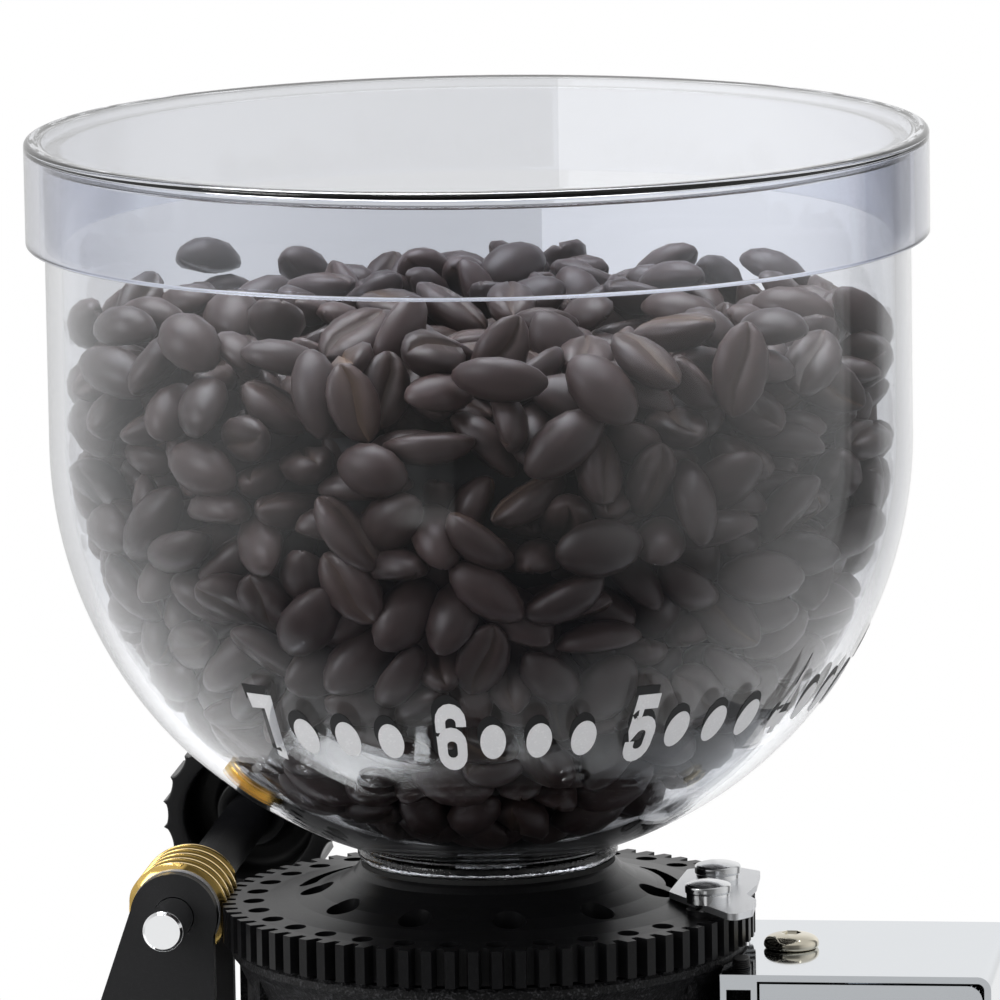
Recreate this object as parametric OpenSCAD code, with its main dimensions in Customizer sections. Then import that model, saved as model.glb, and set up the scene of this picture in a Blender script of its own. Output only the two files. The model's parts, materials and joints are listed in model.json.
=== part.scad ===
// Burr coffee grinder with a clear round hopper, a stepless worm-driven
// grind adjustment and an upright motor in a folded steel housing.
// Units are millimetres. Z is up, -Y is the front, and the origin lies on the
// bench under the axis of the burrs.

/* [Levels] */
// Height of the rubber feet
foot_h = 10; // [6:1:16]
// Height of the cast base above the feet
base_h = 12; // [10:1:20]
// Height of the folded housing above the base
shell_h = 179; // [172:1:200]
// Rise of the adjusting ring's top above the housing's deck
ring_rise = 39; // [37:1:44]

/* [Base] */
// Width of the base
base_w = 156; // [154:1:170]
// Reach of the base in front of the burr axis
base_front = 92; // [88:1:110]
// Reach of the base behind the burr axis
base_back = 92; // [91:1:100]
// Corner radius of the base
base_r = 14; // [6:1:20]
// Diameter of a foot at the bench
foot_d = 24; // [16:1:30]

/* [Housing] */
// Width of the folded housing
shell_w = 150; // [144:1:152]
// Distance of the housing's front edge from the burr axis
shell_front = 50; // [49:0.5:54]
// Distance of the housing's rear edge from the burr axis
shell_back = 88; // [86:1:89]
// Thickness of the sheet steel
sheet_t = 1; // [0.8:0.1:1.5]
// Outer radius of the housing's folds
fold_r = 4; // [2:0.5:6]

/* [Hopper] */
// Outer diameter of the hopper
hopper_d = 127; // [110:1:130]
// Height of the straight part of the hopper
hopper_h = 42.8; // [36:0.2:50]
// Height of the bowl's centre above the adjusting ring
hopper_lift = 69.2; // [68:0.2:76]
// Wall of the hopper
hopper_t = 2.4; // [1.8:0.1:3]
// Diameter of the hopper's neck flange
neck_d = 38.6; // [36:0.2:40]
// Outer diameter of the lid
lid_d = 132.6; // [132:0.2:138]
// Height of the lid
lid_h = 15.4; // [12:0.2:20]
// Wall of the lid
lid_t = 2.2; // [1.6:0.1:2.5]
// How far the lid lifts until it is clear
lid_travel = 60; // [20:5:80]

/* [Adjusting ring] */
// Number of teeth on the adjusting ring
ring_teeth = 72; // [72:1:72]
// Diameter over the teeth
ring_d = 79; // [78:0.5:79.5]
// Depth of a tooth
tooth_depth = 2; // [1.8:0.1:2.2]
// Height of the toothed band
ring_h = 5.5; // [4.5:0.5:6.5]
// Width of a tooth at its tip
tooth_tip = 1.5; // [1.3:0.1:1.6]
// Angle of the first tooth from the front
tooth_turn = -1.2; // [-2:0.1:2]
// Diameter of the threaded sleeve under the ring
sleeve_d = 64; // [60:1:66]

/* [Worm drive] */
// Diameter over the worm's thread
worm_d = 15.2; // [14.6:0.2:15.6]
// Length of the worm
worm_l = 14; // [12:1:16]
// Depth of the worm's thread
thread_depth = 1.7; // [1.5:0.1:1.8]
// How far the thread reaches into the tooth gaps
mesh_depth = 1.4; // [1.2:0.1:1.5]
// Height of the worm's axis below the ring's top
worm_drop = 1.5; // [1:0.25:3]
// Diameter of the worm's shaft
worm_shaft_d = 6; // [5:0.5:7]
// Length of shaft standing out in front of the bracket
shaft_nose = 10.5; // [6:0.5:12]
// Diameter of the knob
knob_d = 28; // [24:1:32]
// Depth of the knob
knob_h = 20; // [16:1:24]
// Distance of the knob's rear face behind the burr axis
knob_reach = 80; // [76:1:88]
// Thickness of the bracket's sheet
bracket_t = 2; // [1.5:0.5:2.5]

/* [Saddle] */
// Distance of the saddle's top below the ring's top
saddle_drop = 7.3; // [7.2:0.1:9]
// Depth of the saddle, front to back
saddle_y = 38.8; // [34:0.2:44]
// Distance of the saddle's inner end from the burr axis
saddle_x = 36.3; // [35:0.1:40]
// Distance of the button-head screw from the burr axis
saddle_screw_x = 45; // [43:0.5:50]

/* [Mill] */
// Diameter of the cone burr at its base
burr_d = 38; // [34:0.5:38.5]
// Gap between the burrs at the base
burr_gap = 0.3; // [0.2:0.05:0.5]
// Diameter of the drive shaft
drive_d = 10; // [8:0.5:10]
// Outer diameter of the shaft bearings
bearing_d = 26; // [24:1:28]

/* [Motor] */
// Diameter of the motor's core
core_d = 72; // [66:1:74]
// Height of the motor's core
core_h = 40; // [30:1:42]
// Diameter of the rotor
rotor_d = 40; // [34:1:42]

/* [Front] */
// Width across the fork's prongs, inside
fork_gap = 60; // [54:1:66]
// Height of the fork above the bench
fork_z = 112; // [104:1:116]
// Reach of the fork in front of the housing
fork_l = 36; // [28:1:40]
// Outer diameter of the spout
spout_d = 31; // [28:1:34]
// Travel of the grinding button
button_travel = 3; // [2:0.5:4]
// Tilt of the rocker switch
rocker_tilt = 12; // [8:1:14]

/* [Fits] */
// Clearance of a running thread or journal
run_fit = 0.08; // [0.05:0.01:0.1]
// Clearance between pieces that pass each other
pass_gap = 0.4; // [0.3:0.1:0.6]
// Clearance of a loose lid over the hopper
lid_gap = 0.6; // [0.4:0.1:0.8]

/* [Hidden] */

$fn = 96;
eps = 0.02;

// Levels
base_z = foot_h;
shell_z = base_z + base_h;
deck_z = shell_z + shell_h;
ring_z = deck_z + ring_rise;
ring_bottom = ring_z - ring_h;
saddle_z = ring_z - saddle_drop;
worm_z = ring_z - worm_drop;
bowl_z = ring_z + hopper_lift;
rim_z = bowl_z + hopper_h;

// Adjusting ring
ring_r = ring_d / 2;
root_r = ring_r - tooth_depth;
tooth_pitch = 360 / ring_teeth;
gap_root = 1.1;
collar_r = neck_d / 2;
collar_h = 5.5;
sleeve_r = sleeve_d / 2;
sleeve_h = 18;
throat_r = 17;

// Worm drive
worm_r = worm_d / 2;
worm_x = -(ring_r + worm_r - mesh_depth);
mesh_r = ring_r - mesh_depth / 2;
worm_lead = 2 * PI * mesh_r / ring_teeth;
thread_root_r = worm_r - thread_depth;
washer_t = 1.2;
ear_y = worm_l / 2 + washer_t + pass_gap / 2;
ear_r = 6.5;
knob_y = knob_reach - knob_h;
sleeve_od = 12;

// Hopper
hopper_r = hopper_d / 2;
lid_r = lid_d / 2;
neck_inner_r = collar_r - 2.2;

// Mill
casting_r = 36;
flange_r = 38.2;
spigot_r = 37;
lug_r = 43.5;
cavity_r = 27;
cavity_floor = deck_z - 17;
cavity_top = ring_z - 26;
casting_bottom = deck_z - 33;
ring_burr_r = 23.4;
ring_burr_h = 15;
ring_burr_z = ring_bottom - sleeve_h - 12;
cone_z = ring_burr_z - 1;
cone_h = 26;
nut_h = 5;
shaft_top = cone_z + cone_h + nut_h - 0.5;
bearing_h = 8;
upper_bearing_z = casting_bottom + 3;
mount_h = 8;
mount_z = casting_bottom - mount_h;

// Motor
core_r = core_d / 2;
motor_clear = 18;
bell_h = (mount_z - shell_z - core_h - motor_clear) / 2;
core_top = mount_z - bell_h;
core_z = core_top - core_h;
lower_bell_z = core_z - bell_h;
coil_h = 11;
stud_r = max(core_r, spigot_r) + 4.5;
ear_screw_r = 6;
drive_r = drive_d / 2;
lower_bearing_z = lower_bell_z + 5;

// Saddle
saddle_end = shell_w / 2 + sheet_t;
lug_top = saddle_z - sheet_t;

function ring_point(r, a) = [r * cos(a), r * sin(a)];

// ---------------------------------------------------------------- helpers

// A plate with round corners, centred, standing on z = 0.
module round_plate(w, d, h, r) {
    linear_extrude(h)
        union() {
            square([w - 2 * r, d], center = true);
            square([w, d - 2 * r], center = true);
            for (x = [-1, 1], y = [-1, 1])
                translate([x * (w / 2 - r), y * (d / 2 - r)])
                    circle(r);
        }
}

// A domed head with a shank, its seat on z = 0 and its shank below.
module dome_screw(head_d, head_h, shank_d, shank_l) {
    difference() {
        union() {
            intersection() {
                cylinder(h = head_h, d = head_d, $fn = 32);
                translate([0, 0, head_h - head_d * 0.8])
                    sphere(r = head_d * 0.8, $fn = 48);
            }
            translate([0, 0, -shank_l])
                cylinder(h = shank_l + eps, d = shank_d, $fn = 24);
        }
        for (a = [0, 90])
            rotate([0, 0, a + 20])
                translate([-head_d * 0.28, -head_d * 0.06, head_h * 0.55])
                    cube([head_d * 0.56, head_d * 0.12, head_h]);
    }
}

// A button head with a hexagon socket, seat on z = 0.
module button_screw(head_d, head_h, shank_d, shank_l) {
    difference() {
        union() {
            rotate_extrude($fn = 48)
                intersection() {
                    square([head_d / 2, head_h]);
                    translate([head_d / 2 - head_h * 0.62, head_h * 0.38])
                        union() {
                            circle(head_h * 0.62, $fn = 40);
                            translate([-head_d, -head_h])
                                square([head_d, head_h * 1.62]);
                            translate([-eps, -head_h])
                                square([head_h * 0.5, head_h]);
                        }
                }
            translate([0, 0, -shank_l])
                cylinder(h = shank_l + eps, d = shank_d, $fn = 24);
        }
        translate([0, 0, head_h * 0.45])
            cylinder(h = head_h, d = head_d * 0.36, $fn = 6);
    }
}

// Turns a piece built along +Z so that it points along -Y.
module to_front() {
    rotate([90, 0, 0])
        children();
}

// Turns a piece built along +Z so that it points along +Y.
module to_back() {
    rotate([-90, 0, 0])
        children();
}

// Four copies at the motor's studs.
module at_studs() {
    for (a = [45 : 90 : 315])
        rotate([0, 0, a])
            translate([stud_r, 0, 0])
                children();
}

// Three copies at the bolts that hold the motor's plate.
module at_mount_bolts() {
    for (a = mount_bolt_angles)
        rotate([0, 0, a])
            translate([mount_bolt_r, 0, 0])
                children();
}

// Three copies at the outer burr's screws.
module at_burr_screws() {
    for (a = burr_screw_angles)
        rotate([0, 0, a])
            translate([burr_screw_r, 0, 0])
                children();
}

// ------------------------------------------------------------------- base

foot_x = base_w / 2 - 18;
foot_front = -base_front + 18;
foot_back = base_back - 18;
foot_places = [for (x = [-foot_x, foot_x], y = [foot_front, foot_back]) [x, y]];
foot_socket = 2;
foot_screw_d = 4;
base_floor = 4;
base_wall = 4;

module base_casting() {
    mid_y = (base_back - base_front) / 2;
    color([0.10, 0.10, 0.11])
        difference() {
            union() {
                translate([0, mid_y, base_z])
                    round_plate(base_w, base_front + base_back, base_h - 2, base_r);
                translate([0, mid_y, base_z + base_h - 2])
                    round_plate(base_w - 3, base_front + base_back - 3, 2, base_r - 1.5);
            }
            // open pocket under the housing
            translate([0, (shell_back - shell_front) / 2, base_z + base_floor])
                round_plate(shell_w - 2 * base_wall - 6,
                    shell_back + shell_front - 2 * base_wall - 6, base_h, 6);
            // shallow dish that catches stray grounds
            translate([0, -(base_front + shell_front) / 2, base_z + base_h - 3])
                round_plate(base_w - 26, base_front - shell_front - 14, 4, 5);
            for (p = foot_places) {
                translate([p[0], p[1], base_z - eps])
                    cylinder(h = foot_socket, d = foot_d - 5);
                translate([p[0], p[1], base_z - eps])
                    cylinder(h = base_h, d = foot_screw_d, $fn = 24);
            }
            // air slots under the motor
            for (x = [-36 : 12 : 36])
                translate([x - 2, -24, base_z - eps])
                    cube([4, 48, base_h]);
        }
}

module rubber_feet() {
    color([0.07, 0.07, 0.07])
        for (p = foot_places)
            translate([p[0], p[1], 0])
                difference() {
                    union() {
                        cylinder(h = foot_h, d1 = foot_d, d2 = foot_d - 2);
                        translate([0, 0, foot_h - eps])
                            cylinder(h = foot_socket - 0.2, d = foot_d - 5.4);
                    }
                    translate([0, 0, -1])
                        cylinder(h = foot_h - 4 + 1, d = 10, $fn = 32);
                    cylinder(h = foot_h + foot_socket + 1, d = foot_screw_d + 0.4, $fn = 24);
                }
}

module foot_screws() {
    color("silver")
        for (p = foot_places)
            translate([p[0], p[1], foot_h - 4])
                rotate([180, 0, 0])
                    dome_screw(8, 2.6, foot_screw_d - 0.2, base_h + 1);
}

// ---------------------------------------------------------------- housing

deck_hole_r = spigot_r + pass_gap;
panel_t = 1.2;
panel_inset = 0.2;

// Outline of the folded housing seen from the front.
module shell_outline(w, h, r) {
    translate([-w / 2, 0])
        square([w, h - r]);
    translate([-w / 2 + r, 0])
        square([w - 2 * r, h]);
    for (x = [-1, 1])
        translate([x * (w / 2 - r), h - r])
            circle(r);
}

module housing_shell() {
    depth = shell_front + shell_back;
    color([0.78, 0.79, 0.80])
        difference() {
            translate([0, shell_back, shell_z])
                to_front()
                    linear_extrude(depth)
                        difference() {
                            shell_outline(shell_w, shell_h, fold_r);
                            translate([0, -1])
                                shell_outline(shell_w - 2 * sheet_t,
                                    shell_h + 1 - sheet_t, fold_r - sheet_t);
                        }
            // opening that the mill drops into
            translate([0, 0, deck_z - 5])
                cylinder(h = 10, r = deck_hole_r);
            for (p = mill_lug_places)
                translate([p[0], p[1], deck_z - 5])
                    cylinder(h = 10, d = mill_screw_d, $fn = 24);
            for (p = bracket_screw_places)
                translate([p[0], p[1], deck_z - 5])
                    cylinder(h = 10, d = bracket_screw_d, $fn = 24);
            for (y = side_screw_places)
                translate([shell_w / 2 - 5, y, side_screw_z])
                    rotate([0, 90, 0])
                        cylinder(h = 10, d = side_screw_d, $fn = 24);
            // louvres in both flanks
            for (z = [0 : 7])
                translate([-shell_w, 20, shell_z + 22 + z * 7])
                    cube([2 * shell_w, 44, 2.6]);
        }
}

// Places of the screws at the corners of a panel.
panel_screw_x = shell_w / 2 - 9;
panel_screw_z = [shell_z + 9, deck_z - 9];
panel_screw_d = 3;
panel_screw_l = 6;

// Flat panel with folded edges that closes one end of the housing.
module end_panel(lip) {
    gap = sheet_t + panel_inset;
    linear_extrude(panel_t)
        shell_outline(shell_w - 2 * gap, shell_h - gap, fold_r - gap);
    translate([0, 0, -lip])
        linear_extrude(lip + eps)
            difference() {
                shell_outline(shell_w - 2 * gap, shell_h - gap, fold_r - gap);
                translate([0, panel_t])
                    shell_outline(shell_w - 2 * gap - 2 * panel_t,
                        shell_h - gap - 2 * panel_t, fold_r - gap - panel_t);
            }
}

// Tapped blocks behind a panel, on the housing's flanks.
module panel_nuts() {
    for (x = [-1, 1], z = panel_screw_z)
        translate([x * panel_screw_x, z - shell_z, -panel_screw_l])
            cylinder(h = panel_screw_l + eps, d = 8, $fn = 32);
}

module front_panel() {
    color([0.80, 0.81, 0.82])
        difference() {
            translate([0, -shell_front + panel_t, shell_z])
                to_front()
                    union() {
                        end_panel(8);
                        panel_nuts();
                    }
            for (x = [-1, 1], z = panel_screw_z)
                translate([x * panel_screw_x, -shell_front - 2, z])
                    to_back()
                        cylinder(h = 20, d = panel_screw_d, $fn = 24);
            translate([-duct_w / 2 - pass_gap, -shell_front - 5, duct_z - pass_gap])
                cube([duct_w + 2 * pass_gap, 20, duct_h + 2 * pass_gap]);
            for (x = fork_screw_x)
                translate([x, -shell_front - 5, fork_screw_z])
                    to_back()
                        cylinder(h = 12, d = fork_screw_d, $fn = 24);
            translate([0, -shell_front - 5, button_z])
                to_back()
                    cylinder(h = 12, d = guide_d, $fn = 48);
            translate([switch_x - switch_w / 2, -shell_front - 5, switch_z - switch_h / 2])
                cube([switch_w, 12, switch_h]);
        }
}

inlet_x = -40;
inlet_z = shell_z + 22;
inlet_d = 14;

module rear_panel() {
    color([0.70, 0.71, 0.72])
        difference() {
            translate([0, shell_back - panel_t, shell_z])
                rotate([90, 0, 180])
                    union() {
                        end_panel(8);
                        panel_nuts();
                    }
            for (x = [-1, 1], z = panel_screw_z)
                translate([x * panel_screw_x, shell_back + 2, z])
                    to_front()
                        cylinder(h = 20, d = panel_screw_d, $fn = 24);
            for (row = [0 : 6])
                translate([-30, shell_back - 5, deck_z - 90 + row * 9])
                    cube([60, 12, 3]);
            translate([inlet_x, shell_back - 5, inlet_z])
                to_back()
                    cylinder(h = 12, d = inlet_d, $fn = 48);
        }
}

module panel_screws() {
    color("silver")
        for (x = [-1, 1], z = panel_screw_z) {
            translate([x * panel_screw_x, -shell_front, z])
                to_front()
                    dome_screw(6, 1.8, panel_screw_d - 0.1, panel_screw_l);
            translate([x * panel_screw_x, shell_back, z])
                to_back()
                    dome_screw(6, 1.8, panel_screw_d - 0.1, panel_screw_l);
        }
}

// ----------------------------------------------------------------- saddle

saddle_bend = 2;
leg_bottom = deck_z - 22;
leg_w = saddle_y;
side_screw_d = 4;
side_screw_z = deck_z - 12;
side_screw_places = [-12, 12];
saddle_plate_t = 0.9;
saddle_cut_r = flange_r + pass_gap;

// Folded strip of steel: level top, rounded fold, leg down the flank.
module saddle_strap() {
    top_l = saddle_end - saddle_x;
    color([0.86, 0.87, 0.88])
        difference() {
            translate([0, saddle_y / 2, 0])
                to_front()
                    linear_extrude(saddle_y)
                        union() {
                            translate([saddle_x, saddle_z - sheet_t])
                                square([top_l - saddle_bend, sheet_t]);
                            translate([saddle_end - sheet_t, leg_bottom])
                                square([sheet_t, saddle_z - saddle_bend - leg_bottom]);
                            translate([saddle_end - saddle_bend, saddle_z - saddle_bend])
                                intersection() {
                                    difference() {
                                        circle(saddle_bend);
                                        circle(saddle_bend - sheet_t);
                                    }
                                    square(saddle_bend);
                                }
                        }
            translate([0, 0, saddle_z - 5])
                cylinder(h = 10, r = saddle_cut_r);
            translate([saddle_screw_x, 0, saddle_z - 5])
                cylinder(h = 10, d = saddle_screw_d, $fn = 32);
            for (y = side_screw_places)
                translate([saddle_end - 5, y, side_screw_z])
                    rotate([0, 90, 0])
                        cylinder(h = 10, d = side_screw_d, $fn = 24);
        }
}

// Flat plate that closes one end of the saddle above the deck.
module saddle_plate() {
    left = saddle_x + tube_w + 0.4;
    right = saddle_end - sheet_t - 0.3;
    top = saddle_z - sheet_t - 0.4;
    r = 2.2;
    linear_extrude(saddle_plate_t)
        union() {
            translate([left, deck_z])
                square([right - left, top - deck_z - r]);
            translate([left, deck_z])
                square([right - left - r, top - deck_z]);
            translate([right - r, top - r])
                circle(r);
        }
}

module saddle_front_plate() {
    color([0.80, 0.81, 0.82])
        translate([0, -saddle_y / 2 + saddle_plate_t + 0.2, 0])
            to_front()
                saddle_plate();
}

module saddle_rear_plate() {
    color([0.80, 0.81, 0.82])
        translate([0, saddle_y / 2 - 0.2, 0])
            to_front()
                saddle_plate();
}

tube_w = 5.4;
tube_h = 8;
tube_t = 0.9;
tube_gap = 1.3;

// Square steel tube under the saddle's inner end, in front of and behind
// the casting's arm.
module saddle_tube() {
    color([0.84, 0.85, 0.86])
        difference() {
            translate([saddle_x, -saddle_y / 2 + 0.2, saddle_z - sheet_t - tube_h])
                difference() {
                    cube([tube_w, saddle_y - 0.4, tube_h]);
                    translate([tube_t, -1, tube_t])
                        cube([tube_w - 2 * tube_t, saddle_y + 2, tube_h - tube_gap - tube_t]);
                }
            translate([0, 0, saddle_z - 20])
                cylinder(h = 30, r = saddle_cut_r);
            translate([saddle_x - 1, -boss_r - pass_gap, saddle_z - 20])
                cube([tube_w + 2, 2 * (boss_r + pass_gap), 30]);
        }
}

saddle_screw_d = 5;
saddle_screw_head = 8.2;

module saddle_screw() {
    color([0.80, 0.77, 0.66])
        translate([saddle_screw_x, 0, saddle_z])
            button_screw(saddle_screw_head, 2.9, saddle_screw_d - 0.2, sheet_t + 9);
}

module saddle_side_screws() {
    color("silver")
        for (y = side_screw_places)
            translate([saddle_end, y, side_screw_z])
                rotate([0, 90, 0])
                    dome_screw(7, 1.6, side_screw_d - 0.2, 6);
}

// Ribbed block beside the mill, on the saddle's inner end.
block_x = 38.9;
block_y = -13.6;

module stop_block() {
    steps = 5;
    step_h = (ring_bottom - saddle_z - 0.4) / steps;
    color([0.08, 0.08, 0.08])
        translate([block_x, block_y, saddle_z])
            union() {
                cylinder(h = steps * step_h, r = 1.6, $fn = 40);
                for (i = [0 : steps - 1])
                    translate([0, 0, i * step_h])
                        cylinder(h = step_h * 0.6, r = 2.9 - 0.2 * i, $fn = 40);
            }
}

// ------------------------------------------------------------------- mill

mill_screw_d = 4;
mill_lug_places = [for (a = [45 : 90 : 315]) ring_point(lug_r, a)];
boss_r = 5.5;
duct_w = 28;
duct_h = 17;
duct_t = 2;
duct_z = cavity_floor - duct_t;
mount_bolt_r = 30;
mount_bolt_angles = [30, 150, 270];

// Cast chamber: threaded collar above, grinding space, shaft bearing below.
module mill_casting() {
    color([0.09, 0.09, 0.10])
        difference() {
            union() {
                rotate_extrude($fn = 144)
                    polygon([
                        [0, casting_bottom],
                        [spigot_r - 2, casting_bottom],
                        [spigot_r, casting_bottom + 2],
                        [spigot_r, deck_z],
                        [spigot_r + 1.5, deck_z],
                        [spigot_r + 1.5, deck_z + 3],
                        [casting_r, deck_z + 7],
                        [casting_r, ring_bottom - 6],
                        [flange_r - 0.8, ring_bottom - 3],
                        [flange_r, ring_bottom - 2],
                        [flange_r, ring_bottom - pass_gap - 0.5],
                        [flange_r - 0.5, ring_bottom - pass_gap],
                        [0, ring_bottom - pass_gap]
                    ]);
                // four feet on the deck
                for (p = mill_lug_places)
                    translate([p[0], p[1], deck_z])
                        cylinder(h = 5, r = 6, $fn = 48);
                // arm that carries the saddle
                translate([casting_r - 6, -boss_r, lug_top - 12])
                    cube([saddle_screw_x - casting_r + 6, 2 * boss_r, 12]);
                translate([saddle_screw_x, 0, lug_top - 12])
                    cylinder(h = 12, r = boss_r);
                // upright ribs round the wall
                for (a = [30 : 30 : 330])
                    rotate([0, 0, a])
                        translate([casting_r - 1, -1.2, deck_z + 2])
                            cube([2.2, 2.4, ring_bottom - deck_z - 5]);
            }
            // threaded bore for the adjusting ring
            translate([0, 0, cavity_top])
                cylinder(h = 60, r = sleeve_r + run_fit);
            // grinding space
            translate([0, 0, cavity_floor])
                cylinder(h = 60, r = cavity_r);
            // seat of the shaft bearing
            translate([0, 0, casting_bottom - 1])
                cylinder(h = bearing_h + 4, d = bearing_d);
            cylinder(h = 400, r = drive_r + 1);
            // outlet to the chute
            translate([-duct_w / 2 + duct_t, -spigot_r - 5, cavity_floor])
                cube([duct_w - 2 * duct_t, spigot_r + 5 - cavity_r + 4, duct_h - 2 * duct_t]);
            translate([-duct_w / 2 - 0.1, -spigot_r - 5, duct_z - 0.1])
                cube([duct_w + 0.2, 8, duct_h + 0.2]);
            for (p = mill_lug_places)
                translate([p[0], p[1], deck_z - 1])
                    cylinder(h = 12, d = mill_screw_d, $fn = 24);
            translate([saddle_screw_x, 0, lug_top - 9.5])
                cylinder(h = 20, d = saddle_screw_d, $fn = 32);
            at_mount_bolts()
                translate([0, 0, casting_bottom - 1])
                    cylinder(h = 9, d = mount_bolt_d, $fn = 24);
        }
}

mount_bolt_d = 5;

module mill_screws() {
    color("silver") {
        for (p = mill_lug_places)
            translate([p[0], p[1], deck_z + 5])
                dome_screw(7.4, 2.6, mill_screw_d - 0.2, 10);
        at_mount_bolts()
            translate([0, 0, mount_z])
                rotate([180, 0, 0])
                    dome_screw(8, 3, mount_bolt_d - 0.2, mount_h + 7);
    }
}

// Aluminium plate that hangs the motor under the chamber.
module motor_mount() {
    color([0.72, 0.72, 0.74])
        difference() {
            union() {
                translate([0, 0, mount_z])
                    cylinder(h = mount_h, r = casting_r);
                at_studs()
                    translate([-stud_r, -ear_screw_r, mount_z])
                        cube([stud_r, 2 * ear_screw_r, mount_h]);
                at_studs()
                    translate([0, 0, mount_z])
                        cylinder(h = mount_h, r = ear_screw_r, $fn = 48);
            }
            translate([0, 0, mount_z - 1])
                cylinder(h = mount_h + 2, r = drive_r + 2);
            at_studs()
                translate([0, 0, mount_z - 1])
                    cylinder(h = mount_h + 2, d = stud_d, $fn = 24);
            at_mount_bolts()
                translate([0, 0, mount_z - 1])
                    cylinder(h = mount_h + 2, d = mount_bolt_d, $fn = 24);
        }
}

// ------------------------------------------------------------------ motor

stud_d = 4;
bell_t = 3;

// Bell of the motor: a skirt on the core and an end plate with four ears.
module motor_bell(h) {
    difference() {
        union() {
            difference() {
                cylinder(h = h, r = core_r);
                translate([0, 0, -1])
                    cylinder(h = h - bell_t + 1, r = core_r - bell_t);
            }
            at_studs() {
                cylinder(h = h, r = ear_screw_r, $fn = 48);
                translate([core_r - bell_t / 2 - stud_r, -ear_screw_r, 0])
                    cube([stud_r - core_r + bell_t / 2, 2 * ear_screw_r, h]);
            }
        }
        at_studs()
            translate([0, 0, -1])
                cylinder(h = h + 2, d = stud_d, $fn = 24);
        // windows for cooling air
        for (a = [0 : 45 : 315])
            rotate([0, 0, a + 22.5])
                translate([core_r - bell_t - 5, -6, h * 0.35])
                    cube([bell_t + 10, 12, h * 0.35]);
    }
}

module motor_upper_bell() {
    color([0.66, 0.67, 0.69])
        difference() {
            translate([0, 0, core_top])
                motor_bell(bell_h);
            translate([0, 0, core_top])
                cylinder(h = bell_h + 1, r = drive_r + 3);
            at_mount_bolts()
                translate([0, 0, mount_z - 12])
                    cylinder(h = 20, d = 9, $fn = 32);
        }
}

module motor_lower_bell() {
    color([0.66, 0.67, 0.69])
        difference() {
            union() {
                translate([0, 0, core_z])
                    rotate([180, 0, 0])
                        motor_bell(bell_h);
                translate([0, 0, lower_bell_z])
                    cylinder(h = 14, d = bearing_d + 8);
            }
            translate([0, 0, lower_bearing_z])
                cylinder(h = 30, d = bearing_d);
            translate([0, 0, lower_bell_z - 1])
                cylinder(h = 30, r = drive_r + 1);
        }
}

module motor_core() {
    slots = 24;
    color([0.45, 0.46, 0.48])
        difference() {
            translate([0, 0, core_z])
                cylinder(h = core_h, r = core_r);
            translate([0, 0, core_z - 1])
                cylinder(h = core_h + 2, r = rotor_d / 2 + pass_gap);
            for (i = [0 : slots - 1])
                rotate([0, 0, i * 360 / slots])
                    translate([rotor_d / 2 + 3, -1.6, core_z - 1])
                        cube([9, 3.2, core_h + 2]);
            at_studs()
                translate([0, 0, core_z - 1])
                    cylinder(h = core_h + 2, d = stud_d + 2, $fn = 32);
        }
}

module motor_windings() {
    coil_in = rotor_d / 2 + 3;
    coil_out = core_r - bell_t - 1;
    color([0.72, 0.38, 0.16])
        for (z = [core_z - coil_h, core_top])
            translate([0, 0, z])
                rotate_extrude()
                    translate([coil_in, 0])
                        union() {
                            translate([2, 0])
                                square([coil_out - coil_in - 4, coil_h]);
                            translate([0, 2])
                                square([coil_out - coil_in, coil_h - 4]);
                            for (x = [2, coil_out - coil_in - 2], y = [2, coil_h - 2])
                                translate([x, y])
                                    circle(2, $fn = 24);
                        }
}

module motor_studs() {
    head_z = lower_bell_z;
    color("silver")
        at_studs()
            translate([0, 0, head_z]) {
                cylinder(h = mount_z + mount_h - head_z + 4, d = stud_d - 0.2, $fn = 24);
                translate([0, 0, -3])
                    cylinder(h = 3, d = 8, $fn = 6);
                translate([0, 0, mount_z + mount_h - head_z])
                    cylinder(h = 3, d = 8, $fn = 6);
            }
}

// Shielded ball bearing round the drive shaft, standing at height z.
module shaft_bearing(z) {
    bore_r = drive_r + run_fit;
    shield_w = (bearing_d / 2 - bore_r) * 0.6;
    color([0.75, 0.76, 0.78])
        translate([0, 0, z])
            rotate_extrude()
                difference() {
                    translate([bore_r, 0])
                        square([bearing_d / 2 - bore_r, bearing_h]);
                    for (y = [-0.4, bearing_h - 0.6])
                        translate([(bore_r + bearing_d / 2 - shield_w) / 2, y])
                            square([shield_w, 1]);
                }
}

module upper_bearing() {
    shaft_bearing(upper_bearing_z);
}

module lower_bearing() {
    shaft_bearing(lower_bearing_z);
}

module drive_shaft() {
    color([0.80, 0.81, 0.82])
        union() {
            translate([0, 0, lower_bearing_z - 2])
                cylinder(h = cone_z + 6 - lower_bearing_z + 2, r = drive_r);
            translate([0, 0, cone_z + 6])
                cylinder(h = shaft_top - cone_z - 6, r = drive_r - 1.5);
        }
}

module motor_rotor() {
    color([0.50, 0.50, 0.52])
        difference() {
            union() {
                translate([0, 0, core_z + 0.5])
                    cylinder(h = core_h - 1, r = rotor_d / 2);
                for (z = [core_z - 4, core_top - 0.5])
                    translate([0, 0, z])
                        cylinder(h = 4.5, r = rotor_d / 2 - 3);
            }
            translate([0, 0, core_z - 10])
                cylinder(h = core_h + 20, r = drive_r);
        }
}

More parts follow.
